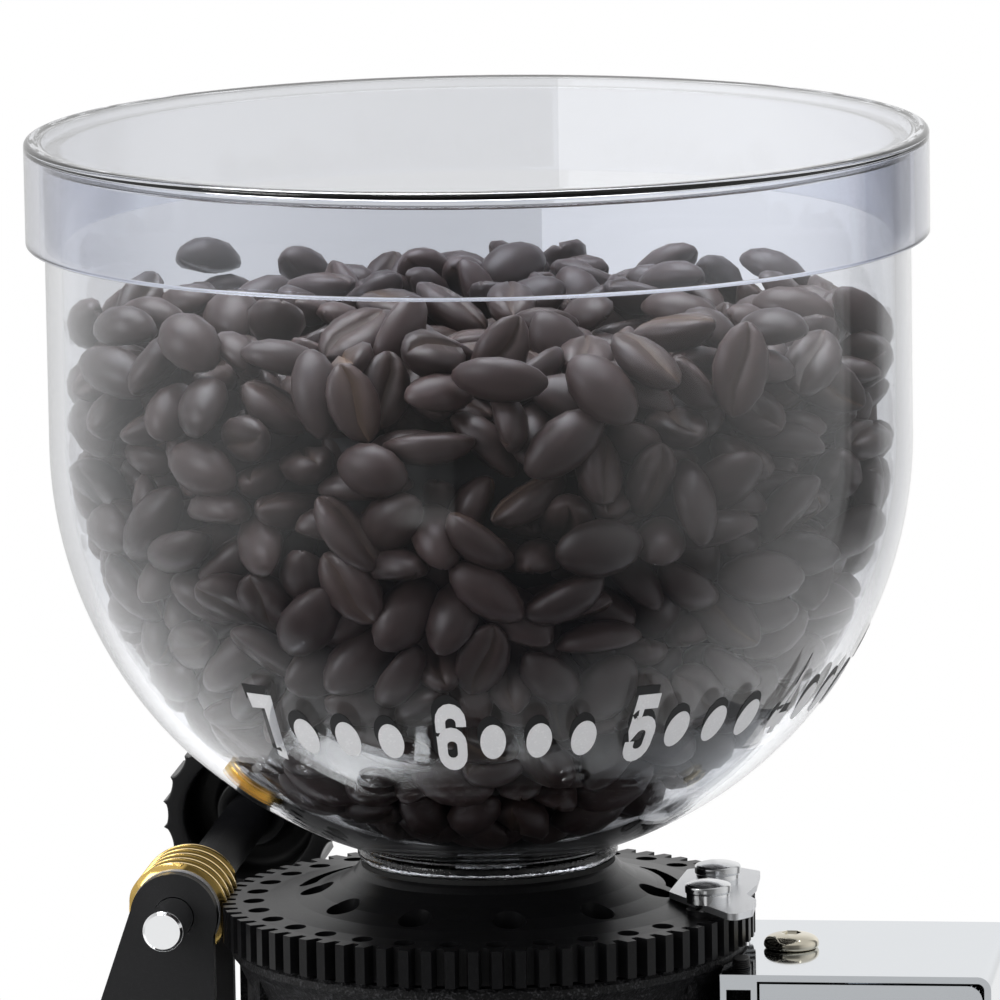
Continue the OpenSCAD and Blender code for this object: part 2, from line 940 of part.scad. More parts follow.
module cooling_fan() {
    blades = 9;
    fan_r = 30;
    fan_z = core_top + coil_h + 4;
    color([0.15, 0.15, 0.16])
        difference() {
            union() {
                translate([0, 0, fan_z])
                    cylinder(h = 2, r = fan_r);
                translate([0, 0, fan_z])
                    cylinder(h = 9, r = 9);
                for (i = [0 : blades - 1])
                    rotate([0, 0, i * 360 / blades])
                        translate([8, -0.8, fan_z + 1])
                            cube([fan_r - 9, 1.6, 7]);
            }
            translate([0, 0, fan_z - 1])
                cylinder(h = 12, r = drive_r);
        }
}

// Carrier under the cone burr with blades that push the grounds out.
module sweeper() {
    blades = 4;
    top = cone_z;
    bottom = cavity_floor + pass_gap;
    color([0.70, 0.71, 0.73])
        difference() {
            union() {
                translate([0, 0, bottom])
                    cylinder(h = top - bottom, r = 10);
                translate([0, 0, top - 3])
                    cylinder(h = 3, r = burr_d / 2);
                for (i = [0 : blades - 1])
                    rotate([0, 0, i * 360 / blades + 45])
                        translate([8, -1.5, bottom])
                            cube([cavity_r - 9, 3, top - bottom - 2]);
            }
            translate([0, 0, bottom - 1])
                cylinder(h = top - bottom + 2, r = drive_r);
        }
}

// Cone burr: fine teeth at the base and twisted breaker fins above.
module cone_burr() {
    fins = 6;
    teeth = 30;
    base_r1 = burr_d / 2;
    color([0.62, 0.63, 0.65])
        difference() {
            union() {
                translate([0, 0, cone_z])
                    cylinder(h = 7, r1 = base_r1, r2 = base_r1 - 2.5);
                translate([0, 0, cone_z + 7])
                    cylinder(h = cone_h - 7, r1 = base_r1 - 8, r2 = 6.5);
                translate([0, 0, cone_z + 6])
                    linear_extrude(height = cone_h - 8, twist = -50, scale = 0.45, slices = 8)
                        for (i = [0 : fins - 1])
                            rotate(i * 360 / fins)
                                translate([0, -2])
                                    square([base_r1 - 2.4, 4]);
            }
            for (i = [0 : teeth - 1])
                rotate([0, 0, i * 360 / teeth])
                    translate([base_r1 - 1.2, 0, cone_z - 1])
                        rotate([0, -19, 0])
                            rotate([0, 0, 45])
                                cube([1.3, 1.3, 9]);
            translate([0, 0, cone_z - 1])
                cylinder(h = 7, r = drive_r);
            translate([0, 0, cone_z])
                cylinder(h = cone_h + 5, r = drive_r - 1.5);
        }
}

module burr_nut() {
    color("silver")
        difference() {
            translate([0, 0, cone_z + cone_h])
                cylinder(h = nut_h, d = 13, $fn = 6);
            translate([0, 0, cone_z + cone_h - 1])
                cylinder(h = nut_h + 2, r = drive_r - 1.5);
        }
}

// --------------------------------------------------------- adjusting ring

small_hole_r = 34.8;
small_hole_d = 3.2;
small_hole_step = 11.25;
large_hole_r = 25.4;
large_hole_d = 5;
large_hole_angles = [-82, -50, -18, 14, 46, 84];
slot_angles = [97, 127];
slot_r = 27.6;
slot_w = 2.6;
plate_z = ring_z + 0.9;
plate_t = 1;
plate_screw_d = 4;
plate_screw_places = [[33.9, -11.4], [33.9, 2.6]];

// Outline of the toothed band.
function tooth_outline() = [
    for (i = [0 : ring_teeth - 1])
        let (a = -90 + tooth_turn + i * tooth_pitch,
             tip = asin(tooth_tip / 2 / ring_r),
             root = (tooth_pitch - 2 * asin(gap_root / 2 / root_r)) / 2)
        each [
            ring_point(root_r, a - root),
            ring_point(ring_r, a - tip),
            ring_point(ring_r, a + tip),
            ring_point(root_r, a + root)
        ]
];

// Angles measured from the front, positive towards +X.
function from_front(r, a) = [r * sin(a), -r * cos(a)];

// Curved slot with round ends, to one side of the ring's middle.
module ring_slot(side) {
    reach = ring_d;
    translate([0, 0, ring_bottom - 1])
        linear_extrude(20) {
            for (a = slot_angles)
                translate(from_front(slot_r, side * a))
                    circle(d = slot_w + 0.2, $fn = 24);
            intersection() {
                difference() {
                    circle(slot_r + slot_w / 2);
                    circle(slot_r - slot_w / 2);
                }
                polygon([
                    [0, 0],
                    from_front(reach, side * slot_angles[0]),
                    from_front(reach, side * slot_angles[1])
                ]);
            }
        }
}

// Toothed ring with a dished top, a collar for the hopper's neck and a
// threaded sleeve that screws into the chamber.
module adjusting_ring() {
    thread_pitch = 2;
    color([0.09, 0.09, 0.10])
        difference() {
            union() {
                translate([0, 0, ring_bottom])
                    linear_extrude(ring_h)
                        polygon(tooth_outline());
                rotate_extrude($fn = 144)
                    polygon([
                        [throat_r - 1, ring_bottom - sleeve_h],
                        [sleeve_r - 1, ring_bottom - sleeve_h],
                        [sleeve_r, ring_bottom - sleeve_h + 1],
                        [sleeve_r, ring_bottom + 1],
                        [root_r - 1, ring_bottom + 1],
                        [root_r - 1, ring_z],
                        [33, ring_z + 0.15],
                        [28.5, ring_z + 0.7],
                        [25, ring_z + 1.6],
                        [22, ring_z + 2.9],
                        [collar_r + 0.6, ring_z + 4.3],
                        [collar_r, ring_z + collar_h - 0.4],
                        [collar_r - 0.4, ring_z + collar_h],
                        [throat_r - 1, ring_z + collar_h]
                    ]);
                // pads under the stop plate
                for (p = plate_screw_places)
                    translate([p[0], p[1], ring_z - 1])
                        cylinder(h = plate_z - ring_z + 1, r = 3.2, $fn = 40);
            }
            // throat for the beans
            translate([0, 0, ring_bottom - sleeve_h - 1])
                cylinder(h = sleeve_h + ring_h + collar_h + 2, r = throat_r, $fn = 96);
            // seat of the outer burr
            translate([0, 0, ring_bottom - sleeve_h - 1])
                cylinder(h = 5, r = ring_burr_r + run_fit);
            // thread relief on the sleeve
            for (z = [ring_bottom - sleeve_h + 3 : thread_pitch : ring_bottom - 4])
                translate([0, 0, z])
                    rotate_extrude()
                        polygon([
                            [sleeve_r + 1, -0.5], [sleeve_r - 0.6, 0], [sleeve_r + 1, 0.5]
                        ]);
            for (i = [0 : 31])
                let (a = -36 + i * small_hole_step, p = from_front(small_hole_r, a))
                    if (a < 62 || a > 112)
                        translate([p[0], p[1], ring_bottom - 1])
                            cylinder(h = 12, d = small_hole_d, $fn = 24);
            for (a = large_hole_angles)
                let (p = from_front(large_hole_r, a))
                    translate([p[0], p[1], ring_z - 3])
                        cylinder(h = 12, d = large_hole_d, $fn = 32);
            for (side = [-1, 1])
                ring_slot(side);
            for (p = plate_screw_places)
                translate([p[0], p[1], ring_bottom - 1])
                    cylinder(h = 12, d = plate_screw_d, $fn = 24);
            at_burr_screws()
                translate([0, 0, ring_bottom - sleeve_h - 1])
                    cylinder(h = 14, d = burr_screw_d, $fn = 24);
        }
}

burr_screw_r = (burr_d / 2 + burr_gap + ring_burr_r) / 2;
burr_screw_d = 2.2;
burr_screw_head = 3.4;
burr_screw_angles = [0, 120, 240];

// Outer burr: a steel ring with a toothed conical mouth.
module ring_burr() {
    teeth = 32;
    inner_bottom = burr_d / 2 + burr_gap;
    mouth = throat_r - 0.6;
    color([0.60, 0.61, 0.63])
        difference() {
            translate([0, 0, ring_burr_z])
                rotate_extrude()
                    polygon([
                        [inner_bottom, 0], [ring_burr_r, 0],
                        [ring_burr_r, ring_burr_h], [mouth, ring_burr_h],
                        [inner_bottom - 3.2, 7]
                    ]);
            for (i = [0 : teeth - 1])
                rotate([0, 0, i * 360 / teeth])
                    translate([mouth - 0.2, 0, ring_burr_z + 7])
                        rotate([0, 0, 45])
                            cube([1.2, 1.2, ring_burr_h]);
            at_burr_screws()
                translate([0, 0, ring_burr_z - 1]) {
                    cylinder(h = ring_burr_h + 2, d = burr_screw_d, $fn = 24);
                    cylinder(h = 4, d = burr_screw_head + 0.2, $fn = 24);
                }
        }
}

module ring_burr_screws() {
    color("silver")
        at_burr_screws()
            translate([0, 0, ring_burr_z + 3])
                rotate([180, 0, 0])
                    dome_screw(burr_screw_head, 1.6, burr_screw_d - 0.1, ring_burr_h - 3 + 6);
}

// Lobed steel plate on the ring that ends its travel at the bracket.
module stop_plate() {
    color([0.88, 0.89, 0.90])
        translate([0, 0, plate_z])
            difference() {
                linear_extrude(plate_t)
                    offset(r = 1.2, $fn = 32)
                        offset(delta = -1.2)
                            polygon([
                                [27.4, -4.6], [28.4, 12], [34.5, 14.6], [39.4, 11],
                                [39.8, 1], [39, -5.6], [40.8, -9.5], [41, -17],
                                [38.4, -20.8]
                            ]);
                for (p = plate_screw_places)
                    translate([p[0], p[1], -1])
                        cylinder(h = plate_t + 2, d = plate_screw_d, $fn = 24);
                translate([41.6, -5.8, -1])
                    cylinder(h = plate_t + 2, r = 2.4, $fn = 32);
            }
}

plate_washer_h = 1.4;

module stop_plate_washers() {
    color([0.80, 0.81, 0.82])
        for (p = plate_screw_places)
            translate([p[0], p[1], plate_z + plate_t])
                difference() {
                    cylinder(h = plate_washer_h, d = 6.4, $fn = 48);
                    translate([0, 0, -1])
                        cylinder(h = plate_washer_h + 2, d = plate_screw_d, $fn = 24);
                }
}

module stop_plate_screws() {
    color([0.78, 0.79, 0.80])
        for (p = plate_screw_places)
            translate([p[0], p[1], plate_z + plate_t + plate_washer_h])
                dome_screw(6.8, 2.7, plate_screw_d - 0.2, 9);
}

// ----------------------------------------------------------------- hopper

seal_h = 0.7;

module hopper_seal() {
    color([0.05, 0.05, 0.05])
        translate([0, 0, ring_z + collar_h])
            difference() {
                cylinder(h = seal_h, r = collar_r - 0.5);
                translate([0, 0, -1])
                    cylinder(h = seal_h + 2, r = throat_r);
            }
}

module hopper_bowl() {
    inner_r = hopper_r - hopper_t;
    neck_z = ring_z + collar_h + seal_h;
    spigot = neck_inner_r - 0.2;
    color([0.82, 0.86, 0.92, 0.35])
        difference() {
            rotate_extrude($fn = 144)
                difference() {
                    union() {
                        intersection() {
                            translate([0, bowl_z])
                                circle(hopper_r, $fn = 144);
                            translate([0, neck_z])
                                square([hopper_r + 1, bowl_z - neck_z]);
                        }
                        translate([0, bowl_z])
                            square([hopper_r, hopper_h]);
                        translate([0, neck_z])
                            square([collar_r, 5]);
                        translate([0, neck_z - 5])
                            square([throat_r - pass_gap / 2, 6]);
                    }
                    intersection() {
                        translate([0, bowl_z])
                            circle(inner_r, $fn = 144);
                        translate([0, neck_z])
                            square([hopper_r + 1, bowl_z - neck_z]);
                    }
                    translate([0, bowl_z])
                        square([inner_r, hopper_h + 1]);
                    translate([-1, neck_z - 6])
                        square([spigot - 1.6, 30]);
                }
        }
}

// Shallow cap with a raised border and a rounded edge.
module hopper_lid() {
    edge = 2;
    top = rim_z + 0.1 + lid_t;
    skirt_r = hopper_r + lid_gap;
    color([0.84, 0.87, 0.93, 0.35])
        rotate_extrude($fn = 144)
            difference() {
                union() {
                    translate([0, top - lid_h])
                        square([lid_r, lid_h - edge]);
                    translate([0, top - lid_h])
                        square([lid_r - edge, lid_h]);
                    translate([lid_r - edge, top - edge])
                        circle(edge, $fn = 32);
                }
                translate([-1, top - lid_h - 1])
                    square([skirt_r + 1, lid_h + 1 - lid_t]);
                translate([-1, top - 0.4])
                    square([lid_r - 2 * edge + 1, 1]);
            }
}

// ------------------------------------------------------------- worm drive

bracket_screw_d = 4;
bracket_base_x = [-63, -40.5];
bracket_screw_x = worm_x - 10.3;
bracket_screw_places = [[bracket_screw_x, -17.5], [bracket_screw_x, 18]];
ear_left = 11.5;
ear_right = 5.9;

// Ear of the bracket: round head, one upright and one raking edge.
module bracket_ear() {
    base = -(worm_z - deck_z - bracket_t / 2);
    rake = (worm_z - deck_z) * 0.345;
    linear_extrude(bracket_t)
        difference() {
            union() {
                circle(ear_r);
                polygon([
                    [ear_right, 0], [ear_right, base], [-ear_r - rake, base],
                    [-ear_r, 0.8], [-ear_r + 2, 0.8]
                ]);
            }
            circle(worm_shaft_d / 2 + run_fit, $fn = 64);
        }
}

module worm_bracket() {
    rake = (worm_z - deck_z) * 0.345;
    left = worm_x - ear_r - rake;
    right = worm_x + ear_right;
    front = -ear_y - bracket_t - 11;
    back = ear_y + bracket_t + 11;
    color([0.13, 0.13, 0.14])
        difference() {
            union() {
                for (y = [-ear_y, ear_y + bracket_t])
                    translate([worm_x, y, worm_z])
                        to_front()
                            bracket_ear();
                translate([left, front, deck_z])
                    cube([right - left, back - front, bracket_t]);
            }
            // round cut-out that clears the chamber
            translate([0, 0, deck_z - 1])
                cylinder(h = 12, r = spigot_r + 2.4);
            for (p = bracket_screw_places)
                translate([p[0], p[1], deck_z - 1])
                    cylinder(h = 8, d = bracket_screw_d, $fn = 24);
            for (p = mill_lug_places)
                translate([p[0], p[1], deck_z - 1])
                    cylinder(h = 12, r = 6.5, $fn = 48);
        }
}

module bracket_screws() {
    color("silver")
        for (p = bracket_screw_places)
            translate([p[0], p[1], deck_z + bracket_t])
                dome_screw(7.4, 2.4, bracket_screw_d - 0.2, 8);
}

// Corner i of the thread's section at step k along the helix.
thread_steps = 28;
thread_turns = (worm_l - 4.4) / worm_lead;
crest_w = 0.6;
flank_w = 1.9;

function thread_points() =
    let (n = round(thread_turns * thread_steps),
         // place of the tooth gap nearest the worm's middle
         gap_turn = tooth_gap_turn(),
         mesh_y = mesh_r * sin(gap_turn))
    [
        for (k = [0 : n])
            let (a = (k - n / 2) * 360 / thread_steps,
                 y = worm_lead * a / 360 + mesh_y,
                 fade = min(1, min(k, n - k) / 7),
                 r = thread_root_r - 0.1 + (thread_depth + 0.1) * fade)
            each [
                [cos(a) * (thread_root_r - 0.1), sin(a) * (thread_root_r - 0.1), y - flank_w / 2],
                [cos(a) * r, sin(a) * r, y - crest_w / 2],
                [cos(a) * r, sin(a) * r, y + crest_w / 2],
                [cos(a) * (thread_root_r - 0.1), sin(a) * (thread_root_r - 0.1), y + flank_w / 2]
            ]
    ];

// Angle of the tooth gap nearest to the -X side, from that side.
function tooth_gap_turn() =
    let (first = -90 + tooth_turn + tooth_pitch / 2,
         n = round((180 - first) / tooth_pitch))
    -(first + n * tooth_pitch - 180);

module worm_thread() {
    n = round(thread_turns * thread_steps);
    faces = concat(
        [[3, 2, 1, 0]],
        [[4 * n, 4 * n + 1, 4 * n + 2, 4 * n + 3]],
        [
            for (k = [0 : n - 1], i = [0 : 3])
                let (j = (i + 1) % 4)
                each [
                    [4 * k + i, 4 * k + j, 4 * k + 4 + j],
                    [4 * k + i, 4 * k + 4 + j, 4 * k + 4 + i]
                ]
        ]
    );
    polyhedron(points = thread_points(), faces = faces, convexity = 6);
}

// Single-start brass worm with a plain rim at each end.
module worm() {
    rim = 0.9;
    color([0.80, 0.62, 0.25])
        translate([worm_x, 0, worm_z])
            to_back()
                difference() {
                    union() {
                        translate([0, 0, -worm_l / 2])
                            cylinder(h = worm_l, r = thread_root_r);
                        for (z = [-worm_l / 2, worm_l / 2 - rim])
                            translate([0, 0, z])
                                cylinder(h = rim, r = thread_root_r + 0.5);
                        worm_thread();
                    }
                    translate([0, 0, -worm_l])
                        cylinder(h = 2 * worm_l, d = worm_shaft_d);
                }
}

washer_r = 6.6;

module worm_washers() {
    color([0.90, 0.91, 0.91])
        for (y = [-worm_l / 2 - washer_t, worm_l / 2])
            translate([worm_x, y, worm_z])
                to_back()
                    difference() {
                        cylinder(h = washer_t, r = washer_r);
                        translate([0, 0, -1])
                            cylinder(h = washer_t + 2, d = worm_shaft_d);
                    }
}

module worm_shaft() {
    front = -ear_y - bracket_t - shaft_nose;
    chamfer = 0.4;
    color([0.82, 0.83, 0.84])
        translate([worm_x, front, worm_z])
            to_back()
                union() {
                    cylinder(h = chamfer, d1 = worm_shaft_d - 2 * chamfer, d2 = worm_shaft_d,
                        $fn = 64);
                    translate([0, 0, chamfer - eps])
                        cylinder(h = knob_reach - 3 - front - chamfer, d = worm_shaft_d, $fn = 64);
                }
}

// Black distance sleeve between the bracket and the knob.
module knob_sleeve() {
    start = ear_y + bracket_t + 0.1;
    color([0.07, 0.07, 0.08])
        translate([worm_x, start, worm_z])
            to_back()
                difference() {
                    cylinder(h = knob_y + 2 - start, d = sleeve_od);
                    translate([0, 0, -1])
                        cylinder(h = knob_y + 10, d = worm_shaft_d);
                }
}

knob_crests = 21;

// Cupped knob with a scalloped rim, open towards the worm.
module adjusting_knob() {
    rim = 2.6;
    floor_t = 4;
    r = knob_d / 2;
    scallop = 2.3;
    bulge = 0.6;
    color([0.08, 0.08, 0.09])
        translate([worm_x, knob_y, worm_z])
            to_back()
                difference() {
                    linear_extrude(knob_h)
                        difference() {
                            circle(r);
                            for (i = [0 : knob_crests - 1])
                                rotate(i * 360 / knob_crests)
                                    translate([r + scallop - bulge, 0])
                                        circle(scallop, $fn = 32);
                        }
                    difference() {
                        translate([0, 0, -1])
                            cylinder(h = knob_h - floor_t + 1, r = r - rim);
                        translate([0, 0, 2])
                            cylinder(h = knob_h, d = sleeve_od + 2);
                    }
                    translate([0, 0, -1])
                        cylinder(h = knob_h - 1.6, d = worm_shaft_d);
                }
}

module knob_cap() {
    color([0.55, 0.56, 0.58])
        translate([worm_x, knob_reach, worm_z])
            to_back()
                cylinder(h = 0.8, r = knob_d / 2 - 4);
}

// ------------------------------------------------------------------ front

spout_y = -shell_front - 18;
spout_r = spout_d / 2;
spout_t = 2;
spout_h = 38;

// Duct from the chamber's outlet to a round spout over the fork.
module grounds_chute() {
    back = -spigot_r + 2.8;
    top = duct_z + duct_h;
    color([0.08, 0.08, 0.09])
        difference() {
            union() {
                translate([-duct_w / 2, spout_y, duct_z])
                    cube([duct_w, back - spout_y, duct_h]);
                translate([0, spout_y, top - spout_h])
                    cylinder(h = spout_h, r = spout_r);
                translate([0, spout_y, top])
                    cylinder(h = 2, r1 = spout_r, r2 = spout_r - 2);
                // flange against the front panel
                translate([-duct_w / 2 - 4, -shell_front - 2, duct_z - 4])
                    cube([duct_w + 8, 2, duct_h + 8]);
            }
            translate([-duct_w / 2 + duct_t, spout_y, duct_z + duct_t])
                cube([duct_w - 2 * duct_t, back - spout_y + 1, duct_h - 2 * duct_t]);
            translate([0, spout_y, top - spout_h - 1])
                cylinder(h = spout_h - spout_t + 1, r = spout_r - spout_t);
        }
}

fork_screw_x = [-20, 20];
fork_screw_z = fork_z + 9;
fork_screw_d = 5;
fork_t = 3;
fork_bar = 8;

// Two-pronged steel fork on an upright back plate.
module portafilter_fork() {
    half = fork_gap / 2 + fork_bar;
    color([0.80, 0.81, 0.82])
        difference() {
            union() {
                translate([-half, -shell_front - fork_t, fork_z])
                    cube([2 * half, fork_t, 20]);
                translate([-half, -shell_front - fork_l, fork_z])
                    cube([2 * half, fork_l, fork_t]);
                for (x = [-1, 1])
                    translate([x * (half - fork_bar / 2), -shell_front - fork_l, fork_z])
                        cylinder(h = fork_t + 2, d = fork_bar, $fn = 48);
            }
            translate([0, -shell_front - fork_l + 2, fork_z - 1])
                cylinder(h = 30, d = fork_gap);
            translate([-fork_gap / 2, -shell_front - fork_l - 10, fork_z - 1])
                cube([fork_gap, 12, 30]);
            for (x = fork_screw_x)
                translate([x, -shell_front - 10, fork_screw_z])
                    to_back()
                        cylinder(h = 20, d = fork_screw_d, $fn = 24);
            translate([0, -shell_front - 10, button_z])
                to_back()
                    cylinder(h = 20, d = guide_d + 5, $fn = 48);
        }
}

module fork_screws() {
    color("silver")
        for (x = fork_screw_x)
            translate([x, -shell_front - fork_t, fork_screw_z])
                to_front()
                    dome_screw(9, 2.6, fork_screw_d - 0.2, 9);
}

switch_x = -50;
switch_z = deck_z - 34;
switch_w = 20;
switch_h = 28;
bezel = 2.5;

// Frame of the power switch, snapped into the front panel.
module switch_frame() {
    color([0.10, 0.10, 0.11])
        translate([switch_x, -shell_front, switch_z])
            difference() {
                union() {
                    translate([-switch_w / 2 - bezel, -1.8, -switch_h / 2 - bezel])
                        cube([switch_w + 2 * bezel, 1.8, switch_h + 2 * bezel]);
                    translate([-switch_w / 2 + 0.2, -1, -switch_h / 2 + 0.2])
                        cube([switch_w - 0.4, 19, switch_h - 0.4]);
                }
                translate([-switch_w / 2 + 2, -3, -switch_h / 2 + 2])
                    cube([switch_w - 4, 15, switch_h - 4]);
                translate([-switch_w / 2 - 3, 4, 0])
                    rotate([0, 90, 0])
                        cylinder(h = switch_w + 6, d = rocker_pin_d + 2 * run_fit, $fn = 32);
            }
}

rocker_pin_d = 2.4;
rocker_y = -shell_front + 4;

// Rocker with two faces that meet at an angle over its pin.
module rocker_switch() {
    half = switch_h / 2 - 3;
    w = switch_w - 5;
    color([0.06, 0.06, 0.07])
        translate([switch_x, rocker_y, switch_z])
            rotate([-rocker_tilt / 2, 0, 0])
                union() {
                    translate([-w / 2, 0, 0])
                        rotate([90, 0, 90])
                            linear_extrude(w)
                                polygon([
                                    [-5.6, -half], [-4.4, 0], [-5.6, half],
                                    [2, half - 1.5], [3.5, 0], [2, -half + 1.5]
                                ]);
                    translate([-switch_w / 2 + 0.5, 0, 0])
                        rotate([0, 90, 0])
                            cylinder(h = switch_w - 1, d = rocker_pin_d, $fn = 32);
                }
}

button_z = fork_z + 24;
guide_d = 14;
button_d = 10;
button_out = 7;
button_l = 12;
button_pocket = 5;
guide_l = 11;

// Threaded bush that guides the button and holds its contact block.
module button_guide() {
    color([0.12, 0.12, 0.13])
        translate([0, -shell_front, button_z])
            to_back()
                difference() {
                    union() {
                        translate([0, 0, -2.5])
                            cylinder(h = 2.5, d = guide_d + 4);
                        translate([0, 0, -1])
                            cylinder(h = guide_l, d = guide_d - 0.2);
                        translate([-9, -8, guide_l - 1.4])
                            cube([18, 16, 3.4]);
                    }
                    translate([0, 0, -4])
                        cylinder(h = guide_l + 3, r = button_d / 2 + run_fit);
                }
}

module grind_button() {
    color([0.60, 0.06, 0.05])
        translate([0, -shell_front - button_out, button_z])
            to_back()
                difference() {
                    union() {
                        translate([0, 0, 1])
                            cylinder(h = button_l - 1, r = button_d / 2);
                        cylinder(h = 1 + eps, r1 = button_d / 2 - 1, r2 = button_d / 2);
                    }
                    translate([0, 0, button_l - button_pocket])
                        cylinder(h = 10, r = button_d / 2 - 1.6);
                }
}

// ------------------------------------------------------------- electrical

module run_capacitor() {
    color([0.75, 0.76, 0.78])
        translate([-15, 59, shell_z - base_h + base_floor])
            union() {
                cylinder(h = 68, d = 34);
                translate([0, 0, 68 - eps])
                    cylinder(h = 2, d = 31);
                for (x = [-6, 6])
                    translate([x - 3, -0.5, 69])
                        cube([6, 1, 9]);
            }
}

module terminal_block() {
    poles = 4;
    color([0.85, 0.85, 0.80])
        translate([12, 58, shell_z - base_h + base_floor])
            difference() {
                cube([9 * poles, 16, 18]);
                for (i = [0 : poles - 1]) {
                    translate([4.5 + 9 * i, -1, 8])
                        to_back()
                            cylinder(h = 20, d = 4, $fn = 24);
                    translate([4.5 + 9 * i, 8, 10])
                        cylinder(h = 10, d = 3.4, $fn = 24);
                }
            }
}

// Gland for the mains lead: flange outside, thread and nut inside.
module cable_inlet() {
    color([0.07, 0.07, 0.07])
        translate([inlet_x, shell_back, inlet_z])
            to_back()
                difference() {
                    union() {
                        cylinder(h = 1.6, d = inlet_d + 6);
                        cylinder(h = 3.6, d1 = inlet_d + 2, d2 = inlet_d - 1);
                        translate([0, 0, -10])
                            cylinder(h = 10 + eps, d = inlet_d - 0.2);
                        translate([0, 0, -panel_t - 5])
                            cylinder(h = 5, d = inlet_d + 6, $fn = 6);
                    }
                    translate([0, 0, -12])
                        cylinder(h = 20, d = 8, $fn = 48);
                }
}

base_casting();
rubber_feet();
foot_screws();
housing_shell();
front_panel();
rear_panel();
panel_screws();
saddle_strap();
saddle_front_plate();
saddle_rear_plate();
saddle_tube();
saddle_screw();
saddle_side_screws();
stop_block();
mill_casting();
mill_screws();
motor_mount();
motor_upper_bell();
motor_lower_bell();
motor_core();
motor_windings();
motor_studs();
upper_bearing();
lower_bearing();
run_capacitor();
terminal_block();
cable_inlet();
drive_shaft();
motor_rotor();
cooling_fan();
sweeper();
cone_burr();
burr_nut();
adjusting_ring();
ring_burr();
ring_burr_screws();
stop_plate();
stop_plate_washers();
stop_plate_screws();
hopper_seal();
hopper_bowl();
hopper_lid();
worm_bracket();
bracket_screws();
worm();
worm_washers();
worm_shaft();
knob_sleeve();
adjusting_knob();
knob_cap();
grounds_chute();
portafilter_fork();
fork_screws();
switch_frame();
rocker_switch();
button_guide();
grind_button();
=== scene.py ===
import json
import math

import bpy
import numpy as np
from mathutils import Matrix, Vector


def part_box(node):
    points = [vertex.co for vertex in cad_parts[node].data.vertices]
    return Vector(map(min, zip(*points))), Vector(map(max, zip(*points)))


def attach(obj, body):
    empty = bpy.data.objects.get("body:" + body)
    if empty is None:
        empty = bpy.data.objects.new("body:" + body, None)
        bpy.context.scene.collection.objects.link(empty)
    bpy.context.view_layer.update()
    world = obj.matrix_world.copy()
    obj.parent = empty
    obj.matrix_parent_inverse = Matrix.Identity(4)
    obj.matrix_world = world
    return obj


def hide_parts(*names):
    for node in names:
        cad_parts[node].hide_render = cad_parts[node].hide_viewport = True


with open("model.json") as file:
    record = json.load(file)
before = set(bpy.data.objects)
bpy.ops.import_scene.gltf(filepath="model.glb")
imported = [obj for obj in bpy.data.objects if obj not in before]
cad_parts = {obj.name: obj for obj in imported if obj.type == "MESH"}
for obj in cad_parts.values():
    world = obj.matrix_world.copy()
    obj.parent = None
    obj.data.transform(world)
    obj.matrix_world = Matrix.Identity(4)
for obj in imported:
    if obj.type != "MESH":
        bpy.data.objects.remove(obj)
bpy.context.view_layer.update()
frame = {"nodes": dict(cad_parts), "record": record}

# Burr coffee grinder: clear hopper full of beans, toothed adjusting ring with
# its brass worm, and a folded steel housing. Metres, Z up, -Y to the front.

MM = 0.001
NODES = frame["nodes"]

# ------------------------------------------------------------------- sizes

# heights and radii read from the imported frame
RIM_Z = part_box("hopper_bowl")[1].z
BOWL_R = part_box("hopper_bowl")[1].x
LID_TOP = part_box("hopper_lid")[1].z
LID_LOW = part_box("hopper_lid")[0].z
LID_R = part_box("hopper_lid")[1].x
NECK_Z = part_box("hopper_seal")[1].z
RING_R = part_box("adjusting_ring")[1].x
PLATE_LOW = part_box("stop_plate")[0].z
RING_Z = PLATE_LOW - 0.9 * MM

# steps round the hopper, the row beside a corner, and the play under a seated piece
TURN_STEPS = 192
CORNER_GAP = 0.04 * MM
SEAT_GAP = 0.02 * MM

# hopper
BOWL_Z = RIM_Z - 42.8 * MM
BOWL_WALL = 2.4 * MM
NECK_R = 19.3 * MM
NECK_BORE = 15.3 * MM
SPIGOT_R = 16.8 * MM
SPIGOT_H = 5.0 * MM
FLANGE_H = 2.2 * MM
LID_SKIRT = 2.2 * MM
LID_PLATE = 1.1 * MM
LID_RECESS = 0.07 * MM
LID_ROUND = 0.8 * MM

# printed scale on the bowl
DIAL_DROP = math.radians(33.6)
DIAL_PITCH = math.radians(30.3)
DIAL_SIX = math.radians(1.95)
DIAL_STRETCH = 1.86
DOT_STEPS = [math.radians(a) for a in (6.4, 13.6, 20.7)]
DOT_DROP = 0.8 * MM
NUMERAL_H = 7.1 * MM
NUMERAL_W = 4.3 * MM
NUMERAL_STROKE = 1.42 * MM
DOT_R = 1.85 * MM
PRINT_LIFT = 0.08 * MM
PRINT_T = 0.06 * MM
# painted shadow: a dark copy of the print lies under the white one, a little off, for the shade
# beside each numeral and dot
SHADOW_COPY_LIFT = 0.01 * MM
SHADOW_COPY_SHIFT = (-0.42 * MM, 0.85 * MM)

# beans
BEAN_COUNT = 1570
BEAN_HALF_L = 6.3 * MM
BEAN_HALF_W = 4.0 * MM
BEAN_BACK = 3.5 * MM
BEAN_FLAT = 1.6 * MM
BALL_R = np.array([2.65, 3.4, 2.65]) * MM
BALL_X = np.array([-3.3, 0, 3.3]) * MM
HEAP_Z = 20 * MM
CORE_DEPTH = 13 * MM
BEAN_SEEN_DEPTH = 17 * MM
WALL_LAYER = 8 * MM
BEAN_SEED = 7

# worm
WORM_X = 0.5 * (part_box("worm")[0].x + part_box("worm")[1].x)
WORM_Z = 0.5 * (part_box("worm")[0].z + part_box("worm")[1].z)
WORM_R = 0.5 * (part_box("worm")[1].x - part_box("worm")[0].x)
RING_TEETH = 72

